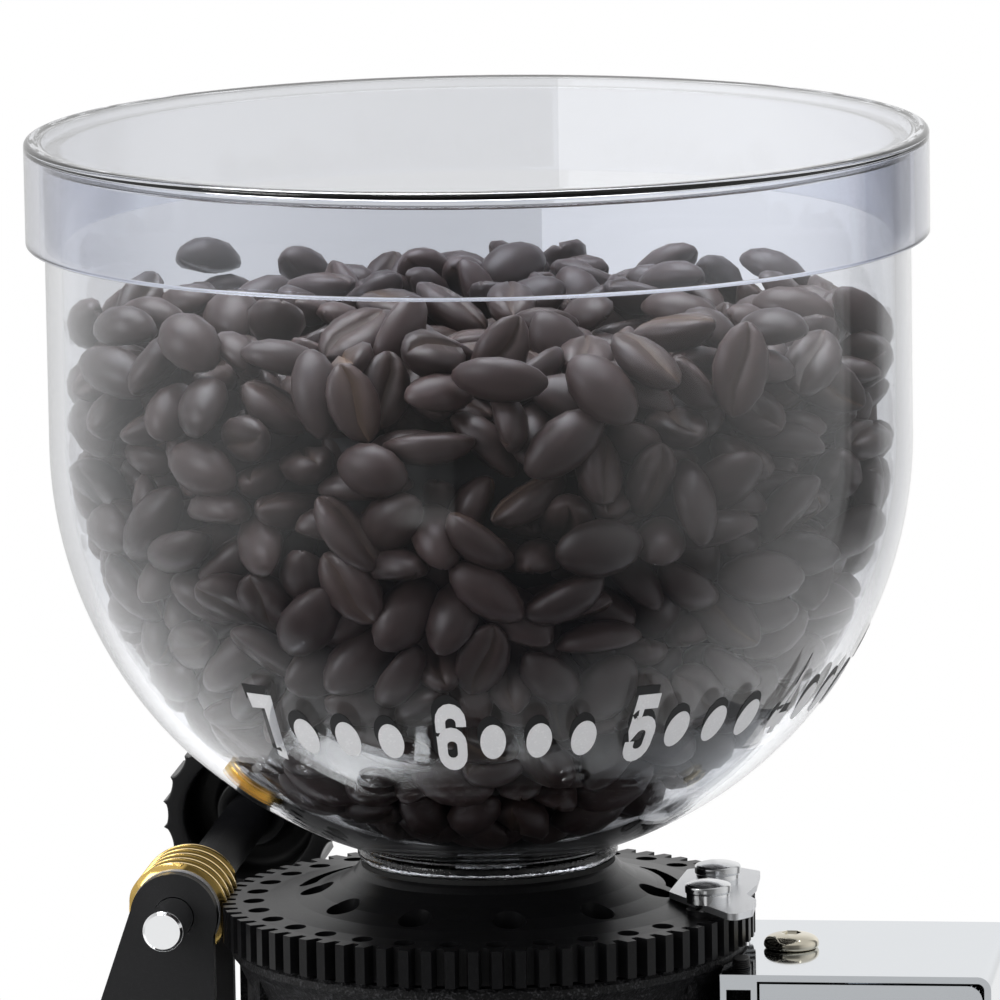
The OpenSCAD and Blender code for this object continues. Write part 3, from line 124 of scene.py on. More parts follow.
# knob
KNOB_R = 13.6 * MM
KNOB_CUP_R = 10.2 * MM
KNOB_HUB_R = 5.5 * MM
KNOB_HUB_IN = 3.0 * MM
KNOB_BACK = 6.0 * MM
KNOB_CRESTS = 21
KNOB_SCALLOP = 0.85 * MM


# --------------------------------------------------------------- mesh code

def new_piece(name, points, faces, body, material, slot, replaces=(), smooth=True):
    """A mesh object from arrays of points and faces, riding on a body."""
    mesh = bpy.data.meshes.new(name)
    mesh.from_pydata(points.reshape(-1, 3).tolist(), [], faces)
    mesh.validate()
    mesh.shade_smooth() if smooth else mesh.shade_flat()
    piece = bpy.data.objects.new(name, mesh)
    bpy.context.scene.collection.objects.link(piece)
    mesh.materials.append(material)
    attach(piece, body)
    if replaces:
        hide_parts(*replaces)
    return piece


def grid_faces(rows, columns, wrap_rows=False, wrap_columns=True):
    """Quads of a grid whose point (row, column) has the number row * columns + column."""
    i = np.arange(rows if wrap_rows else rows - 1)
    j = np.arange(columns if wrap_columns else columns - 1)
    i, j = np.meshgrid(i, j, indexing="ij")
    up, right = (i + 1) % rows, (j + 1) % columns
    quads = np.stack([i * columns + j, i * columns + right,
                      up * columns + right, up * columns + j], axis=-1)
    return quads.reshape(-1, 4).tolist()


def with_corner_rows(profile, closed):
    """A section with one more point on each long span, a short way from any end where
    the section turns, so that the smooth shading of a corner stays at the corner."""
    start = profile if closed else profile[:-1]
    end = np.roll(profile, -1, axis=0) if closed else profile[1:]
    length = np.linalg.norm(end - start, axis=1)
    along = (end - start) / np.maximum(length, 1e-9)[:, None]
    turns = (along * np.roll(along, -1, axis=0)).sum(1) < math.cos(math.radians(3))
    if not closed:
        turns[-1] = False
    is_long = length > 12 * CORNER_GAP
    after_start = np.roll(turns, 1) & is_long
    before_end = turns & is_long
    points = np.stack([start, start + along * CORNER_GAP, end - along * CORNER_GAP], axis=1)
    kept = np.stack([np.ones(len(start), bool), after_start, before_end], axis=1)
    rows = points[kept]
    return rows if closed else np.vstack([rows, profile[-1:]])


def turned(profile, segments, closed):
    """Points and faces of a profile of (radius, height) turned round the Z axis.
    Point (k, t) is (r_k cos t, r_k sin t, z_k). An open profile that starts or ends
    on the axis gets a fan there in place of its degenerate ring."""
    profile = np.asarray(profile, float)
    on_axis = profile[:, 0] < 1e-9
    body = profile[~on_axis]
    angle = np.arange(segments) * 2 * math.pi / segments
    ring = np.stack([np.cos(angle), np.sin(angle)], axis=-1)
    points = np.concatenate([
        body[:, None, :1] * ring[None], np.repeat(body[:, None, 1:], segments, axis=1)
    ], axis=-1).reshape(-1, 3)
    faces = grid_faces(len(body), segments, wrap_rows=closed)
    j = np.arange(segments)
    k = (j + 1) % segments
    for end, first in ((on_axis[0], True), (on_axis[-1], False)):
        if not end:
            continue
        pole = len(points)
        points = np.vstack([points, [0, 0, profile[0 if first else -1, 1]]])
        base = 0 if first else (len(body) - 1) * segments
        fan = np.stack([np.full(segments, pole), base + k, base + j] if first
                       else [np.full(segments, pole), base + j, base + k], axis=-1)
        faces += fan.tolist()
    return points, faces


def arc(centre, radius, start, end, steps):
    """Points of a circular arc in a profile's plane, angles in degrees."""
    a = np.radians(np.linspace(start, end, steps + 1))
    return np.stack([centre[0] + radius * np.cos(a), centre[1] + radius * np.sin(a)], axis=-1)


def line(a, b, steps):
    """Evenly spaced points from a to b."""
    t = np.linspace(0, 1, steps + 1)[:, None]
    return np.asarray(a, float) * (1 - t) + np.asarray(b, float) * t


def joined(*parts):
    """One profile from several stretches, without the points that repeat."""
    points = np.concatenate([np.atleast_2d(p) for p in parts])
    keep = np.ones(len(points), bool)
    keep[1:] = np.linalg.norm(np.diff(points, axis=0), axis=1) > 1e-7
    return points[keep]


def turned_about_y(profile, segments, centre_x, centre_z):
    """A closed section turned and laid along +Y: the profile's height becomes Y."""
    points, faces = turned(profile, segments, closed=True)
    x, y, z = points.T
    return np.stack([centre_x + x, z, centre_z - y], axis=-1), faces


# ------------------------------------------------------------ shader groups

def node_group(name, inputs, outputs):
    """An empty shader node group with float inputs {name: default} and typed outputs."""
    group = bpy.data.node_groups.new(name, "ShaderNodeTree")
    for label, default in inputs.items():
        kind = "NodeSocketVector" if isinstance(default, tuple) else "NodeSocketFloat"
        socket = group.interface.new_socket(label, in_out="INPUT", socket_type=kind)
        socket.default_value = default
    for label, kind in outputs.items():
        group.interface.new_socket(label, in_out="OUTPUT", socket_type=kind)
    return group, group.nodes.new("NodeGroupInput"), group.nodes.new("NodeGroupOutput")


def add(tree, kind, values=None, links=None, **settings):
    """A node with its settings, socket values and incoming links."""
    made = tree.nodes.new(kind)
    for key, value in settings.items():
        setattr(made, key, value)
    for key, value in (values or {}).items():
        made.inputs[key].default_value = value
    for key, source in (links or {}).items():
        tree.links.new(source, made.inputs[key])
    return made


def maths(tree, operation, a, b=None, clamp=False):
    """The output of a Math node over two sockets or numbers."""
    made = add(tree, "ShaderNodeMath", operation=operation, use_clamp=clamp)
    for index, value in enumerate((a, b)):
        if value is None:
            continue
        if isinstance(value, (int, float)):
            made.inputs[index].default_value = value
        else:
            tree.links.new(value, made.inputs[index])
    return made.outputs[0]


def grain_group():
    """Fine drawn grain: noise stretched along one direction of the piece.
    The stretch vector scales Object coordinates, so a small number draws lines out."""
    group, src, out = node_group("drawn_grain", {"Stretch": (20.0, 900.0, 900.0), "Depth": 1.0},
                                 {"Height": "NodeSocketFloat", "Streak": "NodeSocketFloat"})
    place = add(group, "ShaderNodeTexCoord")
    stretched = add(group, "ShaderNodeVectorMath", operation="MULTIPLY",
                    links={0: place.outputs["Object"], 1: src.outputs["Stretch"]})
    noise = add(group, "ShaderNodeTexNoise", {"Scale": 1.0, "Detail": 3.0, "Roughness": 0.6},
                {"Vector": stretched.outputs[0]})
    group.links.new(maths(group, "MULTIPLY", noise.outputs["Fac"], src.outputs["Depth"]),
                    out.inputs["Height"])
    group.links.new(noise.outputs["Fac"], out.inputs["Streak"])
    return group


def speckle_group():
    """Grains of a powder coat: rounded cells of two sizes summed into one height."""
    group, src, out = node_group("coat_speckle", {"Scale": 900.0, "Coarse": 0.5},
                                 {"Height": "NodeSocketFloat", "Mask": "NodeSocketFloat"})
    place = add(group, "ShaderNodeTexCoord")
    fine = add(group, "ShaderNodeTexNoise", {"Detail": 2.0, "Roughness": 0.55},
               {"Vector": place.outputs["Object"], "Scale": src.outputs["Scale"]})
    coarse = add(group, "ShaderNodeTexNoise", {"Detail": 1.0, "Roughness": 0.4}, {
        "Vector": place.outputs["Object"],
        "Scale": maths(group, "MULTIPLY", src.outputs["Scale"], 0.31)})
    mixed = add(group, "ShaderNodeMix", links={
        0: src.outputs["Coarse"], 2: fine.outputs["Fac"], 3: coarse.outputs["Fac"]})
    group.links.new(mixed.outputs[0], out.inputs["Height"])
    peaks = add(group, "ShaderNodeMapRange", {"From Min": 0.52, "From Max": 0.68},
                {"Value": mixed.outputs[0]})
    group.links.new(peaks.outputs[0], out.inputs["Mask"])
    return group


def handling_group():
    """Broad, soft patches where a surface was touched or wiped."""
    group, src, out = node_group("handling", {"Size": 28.0, "Amount": 0.1},
                                 {"Roughness": "NodeSocketFloat", "Mask": "NodeSocketFloat"})
    place = add(group, "ShaderNodeTexCoord")
    noise = add(group, "ShaderNodeTexNoise", {"Detail": 4.0, "Roughness": 0.65, "Distortion": 0.4},
                {"Vector": place.outputs["Object"], "Scale": src.outputs["Size"]})
    centred = maths(group, "SUBTRACT", noise.outputs["Fac"], 0.5)
    group.links.new(maths(group, "MULTIPLY", centred, src.outputs["Amount"]),
                    out.inputs["Roughness"])
    group.links.new(noise.outputs["Fac"], out.inputs["Mask"])
    return group


GRAIN = grain_group()
SPECKLE = speckle_group()
HANDLING = handling_group()


# ---------------------------------------------------------------- materials

def material(name):
    """A new material with its tree and its Principled BSDF."""
    made = bpy.data.materials.new(name)
    made.use_nodes = True
    tree = made.node_tree
    return made, tree, tree.nodes["Principled BSDF"]


def colour_mix(tree, factor, low, high):
    """The colour between two by a factor; either may be a socket or (r, g, b)."""
    mix = add(tree, "ShaderNodeMix", data_type="RGBA", links={0: factor})
    for index, colour in ((6, low), (7, high)):
        if isinstance(colour, tuple):
            mix.inputs[index].default_value = (*colour, 1)
        else:
            tree.links.new(colour, mix.inputs[index])
    return mix.outputs[2]


def two_tones(tree, shader, mask, low, high):
    """Base Color between two colours by a mask."""
    tree.links.new(colour_mix(tree, mask, low, high), shader.inputs["Base Color"])


def shader_mix(tree, factor, first, second):
    """A node between two shader nodes by a factor."""
    return add(tree, "ShaderNodeMixShader", links={
        0: factor, 1: first.outputs[0], 2: second.outputs[0]})


def gloss_or_glass(tree, path):
    """1 for the rays that gloss mirrors or clear plastic bends."""
    return maths(tree, "ADD", path.outputs["Is Glossy Ray"],
                 path.outputs["Is Transmission Ray"], clamp=True)


def set_bump(tree, shader, height, strength, distance):
    """A Bump node on the shader's Normal."""
    bump = add(tree, "ShaderNodeBump", {"Strength": strength, "Distance": distance},
               {"Height": height})
    tree.links.new(bump.outputs[0], shader.inputs["Normal"])


def set_roughness(tree, shader, base, size, amount):
    """Roughness that drifts round a base value by the handling group."""
    touched = add(tree, "ShaderNodeGroup", {"Size": size, "Amount": amount}, node_tree=HANDLING)
    tree.links.new(maths(tree, "ADD", touched.outputs["Roughness"], base, clamp=True),
                   shader.inputs["Roughness"])
    return touched


def metal(name, colour, worn, roughness, stretch=None, depth=0.02, drift=0.08, size=28.0):
    """Bare metal: two close tones, drifting roughness and, if stretched, a drawn grain."""
    made, tree, shader = material(name)
    shader.inputs["Metallic"].default_value = 1.0
    touched = set_roughness(tree, shader, roughness, size, drift)
    two_tones(tree, shader, touched.outputs["Mask"], colour, worn)
    if stretch:
        grain = add(tree, "ShaderNodeGroup", {"Stretch": stretch}, node_tree=GRAIN)
        set_bump(tree, shader, grain.outputs["Height"], depth, 0.0002)
    return made


def coat(name, colour, peak, roughness, scale, coarse, strength, distance, drift=0.08,
         gloss=0.5):
    """Powder coat or moulded plastic: speckled height, a lighter tone on its peaks."""
    made, tree, shader = material(name)
    grains = add(tree, "ShaderNodeGroup", {"Scale": scale, "Coarse": coarse}, node_tree=SPECKLE)
    two_tones(tree, shader, grains.outputs["Mask"], colour, peak)
    shader.inputs["Specular IOR Level"].default_value = gloss
    set_roughness(tree, shader, roughness, 30.0, drift)
    set_bump(tree, shader, grains.outputs["Height"], strength, distance)
    return made


def object_height(tree):
    """The Z of Object coordinates."""
    place = add(tree, "ShaderNodeTexCoord")
    return add(tree, "ShaderNodeSeparateXYZ", links={0: place.outputs["Object"]}).outputs[2]


def clear_plastic(name, tint, shade):
    """Clear acrylic: bends and mirrors light, and lets lamps through to what it holds."""
    made, tree, shader = material(name)
    shader.inputs["Base Color"].default_value = (*tint, 1)
    shader.inputs["Roughness"].default_value = 0.0
    shader.inputs["IOR"].default_value = 1.49
    shader.inputs["Transmission Weight"].default_value = 1.0
    path = add(tree, "ShaderNodeLightPath")
    through = add(tree, "ShaderNodeBsdfTransparent", {"Color": (*shade, 1)})
    mix = shader_mix(tree, path.outputs["Is Shadow Ray"], shader, through)
    tree.links.new(mix.outputs[0], tree.nodes["Material Output"].inputs["Surface"])
    return made, tree, shader


def bowl_plastic():
    """The bowl's plastic, with the neck flange left grainy by its tool."""
    made, tree, shader = clear_plastic("clear_bowl", (0.945, 0.957, 0.987), (0.90, 0.91, 0.93))
    height = object_height(tree)
    band = maths(tree, "MULTIPLY", maths(tree, "GREATER_THAN", height, NECK_Z - 0.2 * MM),
                 maths(tree, "LESS_THAN", height, NECK_Z + FLANGE_H + 0.2 * MM))
    grains = add(tree, "ShaderNodeGroup", {"Scale": 1500.0, "Coarse": 0.3}, node_tree=SPECKLE)
    set_bump(tree, shader, maths(tree, "MULTIPLY", band, grains.outputs["Height"]), 0.35, 0.0004)
    return made


def lid_plastic():
    """The lid's plastic: a cool tint that deepens where its skirt turns away."""
    tint, edge_tint = (0.938, 0.955, 0.997), (0.63, 0.645, 0.72)
    made, tree, shader = clear_plastic("clear_lid", tint, (0.90, 0.91, 0.93))
    facing = add(tree, "ShaderNodeLayerWeight", {"Blend": 0.5}).outputs["Facing"]
    skirt = maths(tree, "LESS_THAN", object_height(tree), LID_TOP - LID_ROUND)
    turned_away = add(tree, "ShaderNodeMapRange", {"From Min": 0.25, "From Max": 0.50},
                      {"Value": facing})
    mask = maths(tree, "MULTIPLY", turned_away.outputs[0], skirt)
    two_tones(tree, shader, mask, tint, edge_tint)
    return made


def bean_material():
    """Dark roast: each bean has its own tone, and the cut along its flat side is paler.
    The attribute's channels are the bean's tone, the cut's mask and the cut's paleness."""
    made, tree, shader = material("roasted_bean")
    marks = add(tree, "ShaderNodeAttribute", attribute_name="roast")
    parts = add(tree, "ShaderNodeSeparateColor", links={0: marks.outputs["Color"]})
    place = add(tree, "ShaderNodeTexCoord")
    mottle = add(tree, "ShaderNodeTexNoise", {"Scale": 300.0, "Detail": 1.0, "Roughness": 0.5},
                 {"Vector": place.outputs["Object"]})
    tone = maths(tree, "ADD", parts.outputs[0],
                 maths(tree, "MULTIPLY", maths(tree, "SUBTRACT", mottle.outputs["Fac"], 0.5), 0.4),
                 clamp=True)
    skin = colour_mix(tree, tone, (0.021, 0.0130, 0.0118), (0.059, 0.037, 0.0335))
    paleness = maths(tree, "MULTIPLY", parts.outputs[1], parts.outputs[2])
    two_tones(tree, shader, paleness, skin, (0.24, 0.155, 0.095))
    shader.inputs["Specular IOR Level"].default_value = 0.45
    set_roughness(tree, shader, 0.40, 160.0, 0.1)
    wrinkles = add(tree, "ShaderNodeTexNoise", {"Scale": 420.0, "Detail": 1.0},
                   {"Vector": place.outputs["Object"]})
    set_bump(tree, shader, wrinkles.outputs["Fac"], 0.05, 0.0004)
    return made


DARK_PEAK = (0.05, 0.05, 0.054)
STEEL = (0.74, 0.76, 0.78)
STEEL_WORN = (0.80, 0.815, 0.83)

MATERIALS = {
    "black_casting": coat("black_casting", (0.0035, 0.0035, 0.004), DARK_PEAK,
                          0.46, 2600.0, 0.25, 0.8, 0.0004, 0.08, 0.25),
    "black_coated_steel": coat("black_coated_steel", (0.017, 0.017, 0.018), (0.024, 0.024, 0.026),
                               0.46, 5200.0, 0.3, 0.35, 0.0001),
    "satin_steel": metal("satin_steel", STEEL, STEEL_WORN, 0.24, (30.0, 30.0, 1600.0), 0.06, 0.05),
    "polished_steel": metal("polished_steel", (0.80, 0.81, 0.82), (0.86, 0.87, 0.88),
                            0.12, None, 0.0, 0.06, 60.0),
    "zinc_screws": metal("zinc_screws", (0.70, 0.71, 0.72), (0.80, 0.81, 0.82),
                         0.14, None, 0.0, 0.08, 90.0),
    "nickel_screw": metal("nickel_screw", (0.72, 0.67, 0.54), (0.78, 0.73, 0.61),
                          0.05, None, 0.0, 0.03, 120.0),
    "burr_steel": metal("burr_steel", (0.50, 0.51, 0.52), (0.60, 0.61, 0.62),
                        0.32, (600.0, 600.0, 60.0), 0.15, 0.10),
    "cast_aluminium": coat("cast_aluminium", (0.52, 0.53, 0.54), (0.66, 0.67, 0.68),
                           0.5, 1600.0, 0.5, 0.4, 0.0003),
    "copper_windings": metal("copper_windings", (0.60, 0.26, 0.11), (0.78, 0.40, 0.20),
                             0.36, (900.0, 900.0, 120.0), 0.3, 0.1),
    "rubber": coat("rubber", (0.012, 0.012, 0.012), (0.020, 0.020, 0.020),
                   0.72, 2600.0, 0.4, 0.3, 0.0002),
    "black_plastic": coat("black_plastic", (0.008, 0.008, 0.0085), (0.011, 0.011, 0.012),
                          0.34, 2400.0, 0.2, 0.05, 0.0001, 0.12),
    "black_ring": coat("black_ring", (0.005, 0.005, 0.0055), (0.010, 0.010, 0.011),
                       0.32, 4200.0, 0.3, 0.2, 0.0001, 0.08, 0.22),
    "knob_cap_metal": metal("knob_cap_metal", (0.50, 0.51, 0.53), (0.60, 0.61, 0.63),
                            0.30, (700.0, 700.0, 40.0), 0.12),
    "red_plastic": coat("red_plastic", (0.42, 0.02, 0.015), (0.50, 0.04, 0.03),
                        0.28, 2600.0, 0.2, 0.05, 0.0001),
    "pale_plastic": coat("pale_plastic", (0.46, 0.47, 0.50), (0.54, 0.55, 0.57),
                         0.42, 2200.0, 0.3, 0.1, 0.0001),
    "brass": metal("brass", (0.82, 0.54, 0.15), (0.90, 0.64, 0.22),
                   0.13, (500.0, 30.0, 500.0), 0.04, 0.08, 90.0),
    "clear_plastic": bowl_plastic(),
}
PRINT = coat("scale_print", (0.62, 0.62, 0.635), (0.70, 0.70, 0.715), 0.5, 3000.0, 0.3, 0.1, 0.00005)
# near-black coat that paints shade: the shadow beside the scale's print, and the dark deep in the
# bean heap
PAINTED_SHADE_BLACK = coat("painted_shade_black", (0.008, 0.008, 0.009), (0.012, 0.012, 0.013),
                  0.6, 3000.0, 0.3, 0.1, 0.00005)
BEAN = bean_material()

# finishes of single pieces that differ a little from the rest of their slot
BRIGHT_SHEET = metal("bright_sheet", (0.71, 0.74, 0.775), (0.74, 0.77, 0.80),
                     0.07, (30.0, 30.0, 1600.0), 0.008, 0.02)
SHAFT_STEEL = metal("shaft_steel", (0.86, 0.87, 0.88), (0.90, 0.91, 0.92),
                    0.06, None, 0.0, 0.03, 200.0)
GROUND_PLATE = metal("ground_plate", (0.84, 0.85, 0.87), (0.88, 0.89, 0.91),
                     0.40, (60.0, 60.0, 1600.0), 0.02, 0.04, 60.0)
SLEEVE_BLACK = coat("sleeve_black", (0.003, 0.003, 0.0035), (0.005, 0.005, 0.0055),
                    0.20, 3000.0, 0.2, 0.04, 0.0001, 0.08, 0.006)
BLOCK_RUBBER = coat("block_rubber", (0.006, 0.006, 0.006), (0.010, 0.010, 0.010),
                    0.5, 3000.0, 0.3, 0.1, 0.0001)
PIECE_FINISH = {
    "saddle_strap": BRIGHT_SHEET, "saddle_front_plate": BRIGHT_SHEET,
    "saddle_rear_plate": BRIGHT_SHEET, "saddle_tube": BRIGHT_SHEET,
    "worm_shaft": SHAFT_STEEL, "stop_plate": GROUND_PLATE,
}

for row in frame["record"]["subparts"]:
    node = NODES[row["node"]]
    finish = PIECE_FINISH.get(row["node"], MATERIALS[row["material_slot"]])
    node.data.materials.clear()
    node.data.materials.append(finish)


# ------------------------------------------------------------------- hopper

def bowl_profile():
    """Section of the hopper as one closed loop: spigot, rounded neck flange, sphere,
    straight wall, softened lip, and back down inside at a constant wall thickness."""
    inner = BOWL_R - BOWL_WALL
    lip = 0.35 * MM
    root = NECK_R - 0.6 * MM
    bead = FLANGE_H / 2
    start = math.degrees(math.asin(root / BOWL_R))
    stop = math.degrees(math.asin(NECK_BORE / inner))
    spigot_low = NECK_Z - SPIGOT_H
    return joined(
        line((NECK_BORE, spigot_low), (SPIGOT_R, spigot_low), 2),
        line((SPIGOT_R, spigot_low), (SPIGOT_R, NECK_Z), 3),
        line((SPIGOT_R, NECK_Z), (NECK_R - bead, NECK_Z), 2),
        arc((NECK_R - bead, NECK_Z + bead), bead, -90, 75, 10),
        arc((0, BOWL_Z), BOWL_R, -90 + start, 0, 60),
        line((BOWL_R, BOWL_Z), (BOWL_R, RIM_Z - lip), 20),
        arc((BOWL_R - lip, RIM_Z - lip), lip, 0, 90, 6),
        arc((inner + lip, RIM_Z - lip), lip, 90, 180, 6),
        line((inner, RIM_Z - lip), (inner, BOWL_Z), 20),
        arc((0, BOWL_Z), inner, 0, -90 + stop, 60),
        line((NECK_BORE, BOWL_Z - inner * math.cos(math.radians(stop))),
             (NECK_BORE, spigot_low), 3),
    )[:-1]


def lid_profile():
    """Section of the lid from the axis on top to the axis below: sunk disc, a step
    (1 - cos(pi s)) / 2 up to its border, rounded edge, skirt, and the underside."""
    inner = LID_R - LID_SKIRT
    soft = 0.45 * MM
    fillet = 0.4 * MM
    step_w = 0.9 * MM
    border = LID_R - LID_ROUND - 0.55 * MM
    top = LID_TOP - LID_RECESS
    under = top - LID_PLATE
    step = np.linspace(0, 1, 9)
    rise = 0.5 - 0.5 * np.cos(step * math.pi)
    outline = joined(
        line((0, top), (border - step_w, top), 24),
        np.stack([border - step_w * (1 - step), top + LID_RECESS * rise], axis=-1),
        line((border + 0.1 * MM, LID_TOP), (LID_R - LID_ROUND, LID_TOP), 2),
        arc((LID_R - LID_ROUND, LID_TOP - LID_ROUND), LID_ROUND, 90, 0, 12),
        line((LID_R, LID_TOP - LID_ROUND), (LID_R, LID_LOW + soft), 12),
        arc((LID_R - soft, LID_LOW + soft), soft, 0, -90, 5),
        arc((inner + soft, LID_LOW + soft), soft, -90, -180, 5),
        line((inner, LID_LOW + soft), (inner, under - fillet), 10),
        arc((inner - fillet, under - fillet), fillet, 0, 90, 6),
        line((inner - fillet, under), (0, under), 24),
    )
    return outline[::-1]


points, faces = turned(with_corner_rows(bowl_profile(), True), TURN_STEPS, closed=True)
new_piece("hopper_bowl_clear", points, faces, "adjuster", MATERIALS["clear_plastic"],
          "clear_plastic", ["hopper_bowl"])
points, faces = turned(with_corner_rows(lid_profile(), False), TURN_STEPS, closed=False)
new_piece("hopper_lid_clear", points, faces, "lid", lid_plastic(),
          "clear_plastic", ["hopper_lid"])


# ------------------------------------------------------------ printed scale

def bend(x, y, rise, start, end):
    """Points of an elliptic bend of a numeral's stroke, in the numeral's unit box."""
    a = np.radians(np.linspace(start, end, 9))
    return np.stack([x + 0.5 * np.cos(a), y + rise * np.sin(a)], axis=-1)


def numeral_paths():
    """Middle lines of the strokes of the numerals 0 to 7. X and Y run from 0 to 1, and r
    is the rise of a full bend."""
    r = 0.20
    top = bend(0.5, 1 - r, r, 0, 180)
    top_back = bend(0.5, 1 - r, r, 180, 0)
    low = bend(0.5, r, r, 180, 360)
    low_back = bend(0.5, r, r, 0, -180)
    return {
        0: [np.vstack([top, low, [(1, 1 - r)]])],
        1: [np.array([(0.15, 0.80), (0.62, 1.0), (0.62, 0.0)])],
        2: [np.vstack([[(0, 0.74)], top_back, [(1, 0.68), (0.02, 0.0), (1.05, 0.0)]])],
        3: [np.vstack([[(0, 0.76)], top_back, bend(0.5, 0.56 + 0.12, 0.14, 0, -90)]),
            np.vstack([bend(0.5, 0.54 - 0.16, 0.16, 90, 0), low_back, [(0, 0.26)]])],
        4: [np.array([(0.72, -0.05), (0.72, 1.0), (-0.05, 0.30), (-0.05, 0.22), (1.1, 0.22)])],
        5: [np.vstack([[(1.0, 1.0), (0.06, 1.0), (0.0, 0.50)], bend(0.5, 0.62 - r, r, 165, 0),
                       low_back, [(0, 0.28)]])],
        6: [np.vstack([[(1, 0.72)], top, low, bend(0.5, 0.58 - r, r, 0, 180)])],
        7: [np.array([(-0.05, 1.0), (1.0, 1.0), (0.36, -0.06)])],
    }


def on_bowl(angle, across, up):
    """A flat drawing laid on the sphere: across turns round Z, up climbs the meridian
    and is stretched on it. Angle 0 faces the front and grows towards +X."""
    latitude = -DIAL_DROP + up * DIAL_STRETCH / BOWL_R
    theta = angle + across / (BOWL_R * math.cos(DIAL_DROP))
    return np.stack([np.sin(theta) * np.cos(latitude), -np.cos(theta) * np.cos(latitude),
                     np.sin(latitude)], axis=-1)


def printed_slab(front, faces, lift):
    """A thin closed slab on the bowl from unit directions and the faces of its front."""
    centre = np.array([0, 0, BOWL_Z])
    outer = centre + front * (BOWL_R + lift + PRINT_T)
    inner = centre + front * (BOWL_R + lift)
    count = len(front)
    edges = dict.fromkeys(edge for face in faces for edge in zip(face, face[1:] + face[:1]))
    rim = [(a, b) for a, b in edges if (b, a) not in edges]
    sides = [[a, a + count, b + count, b] for a, b in rim]
    backs = [[v + count for v in reversed(face)] for face in faces]
    return np.vstack([outer, inner]), faces + backs + sides


def stroke(path, angle, lift, shift):
    """A numeral's stroke: the middle line widened by half the stroke to each side,
    with mitred corners."""
    box = np.array([NUMERAL_W - NUMERAL_STROKE, NUMERAL_H - NUMERAL_STROKE])
    path = path * box - box / 2
    keep = np.ones(len(path), bool)
    keep[1:] = np.linalg.norm(np.diff(path, axis=0), axis=1) > 0.02 * MM
    path = path[keep]
    ring = np.linalg.norm(path[0] - path[-1]) < 0.05 * MM
    if ring:
        path = path[:-1]
    ahead = (np.roll(path, -1, 0) - path) if ring else np.diff(path, axis=0)
    ahead /= np.linalg.norm(ahead, axis=1, keepdims=True)
    before = np.roll(ahead, 1, 0) if ring else np.vstack([ahead[:1], ahead])
    after = ahead if ring else np.vstack([ahead, ahead[-1:]])
    middle = before + after
    middle /= np.linalg.norm(middle, axis=1, keepdims=True)
    normal = np.stack([-middle[:, 1], middle[:, 0]], axis=-1)
    spread = np.minimum(1 / np.maximum((middle * after).sum(1), 0.3), 1.6)
    half = NUMERAL_STROKE / 2 * spread[:, None] * normal
    left, right = path + half, path - half
    flat = np.stack([right, left], axis=1).reshape(-1, 2)
    faces = grid_faces(len(path), 2, wrap_rows=ring, wrap_columns=False)
    return printed_slab(on_bowl(angle, flat[:, 0] + shift[0], flat[:, 1] + shift[1]), faces, lift)


def dot(angle, lift, shift):
    """A round dot of the scale: a fan of rings from its middle."""
    count = 28
    turn = np.arange(count) * 2 * math.pi / count
    flat = np.concatenate([DOT_R * s * np.stack([np.cos(turn), np.sin(turn)], axis=-1)
                           for s in (0.5, 1.0)] + [np.zeros((1, 2))])
    faces = [[j, (j + 1) % count, 2 * count] for j in range(count)]
    faces += [[j + count, (j + 1) % count + count, (j + 1) % count, j] for j in range(count)]
    flat += np.array(shift) - [0, DOT_DROP / DIAL_STRETCH]
    return printed_slab(on_bowl(angle, flat[:, 0], flat[:, 1]), faces, lift)


def merged(shapes):
    """Several (points, faces) as one."""
    points, faces, start = [], [], 0
    for some, some_faces in shapes:
        points.append(some)
        faces += [[v + start for v in face] for face in some_faces]
        start += len(some)
    return np.vstack(points), faces


def scale_shapes(lift, shift):
    """All numerals and dots of the scale, as one list of shapes for each."""
    numerals, dots = [], []
    for number, paths in numeral_paths().items():
        angle = DIAL_SIX + (6 - number) * DIAL_PITCH
        numerals += [stroke(path, angle, lift, shift) for path in paths]
        if number > 0:
            dots += [dot(angle + step, lift, shift) for step in DOT_STEPS]
    return numerals, dots


numerals, dots = scale_shapes(PRINT_LIFT, (0, 0))
new_piece("scale_numerals", *merged(numerals), "adjuster", PRINT, "pale_plastic", smooth=False)
new_piece("scale_dots", *merged(dots), "adjuster", PRINT, "pale_plastic", smooth=False)
# painted shadow: the numerals and dots again in near-black, lower and shifted, for the shade beside
# the white print
numerals, dots = scale_shapes(SHADOW_COPY_LIFT, SHADOW_COPY_SHIFT)
new_piece("scale_painted_shadow", *merged(numerals + dots), "adjuster", PAINTED_SHADE_BLACK,
          "black_plastic", smooth=False)


# -------------------------------------------------------------------- beans

def close_pairs(points, cell):
    """Pairs of points in the same or in touching cells of a grid."""
    grid = np.floor(points / cell).astype(np.int64)
    grid -= grid.min(0) - 1
    size = grid.max(0) + 2
    key = (grid[:, 0] * size[1] + grid[:, 1]) * size[2] + grid[:, 2]
    order = np.argsort(key, kind="stable")
    ranked = key[order]
    offsets = [(0, 0, 0), (0, 0, 1), (0, 1, -1), (0, 1, 0), (0, 1, 1)]
    offsets += [(1, y, z) for y in (-1, 0, 1) for z in (-1, 0, 1)]
    first, second = [], []
    for dx, dy, dz in offsets:
        shifted = key + (dx * size[1] + dy) * size[2] + dz
        low = np.searchsorted(ranked, shifted, "left")
        count = np.searchsorted(ranked, shifted, "right") - low
        a = np.repeat(np.arange(len(key)), count)
        step = np.arange(len(a)) - np.repeat(np.cumsum(count) - count, count)
        b = order[np.repeat(low, count) + step]
        keep = a < b if (dx, dy, dz) == (0, 0, 0) else np.ones(len(a), bool)
        first.append(a[keep])
        second.append(b[keep])
    return np.concatenate(first), np.concatenate(second)


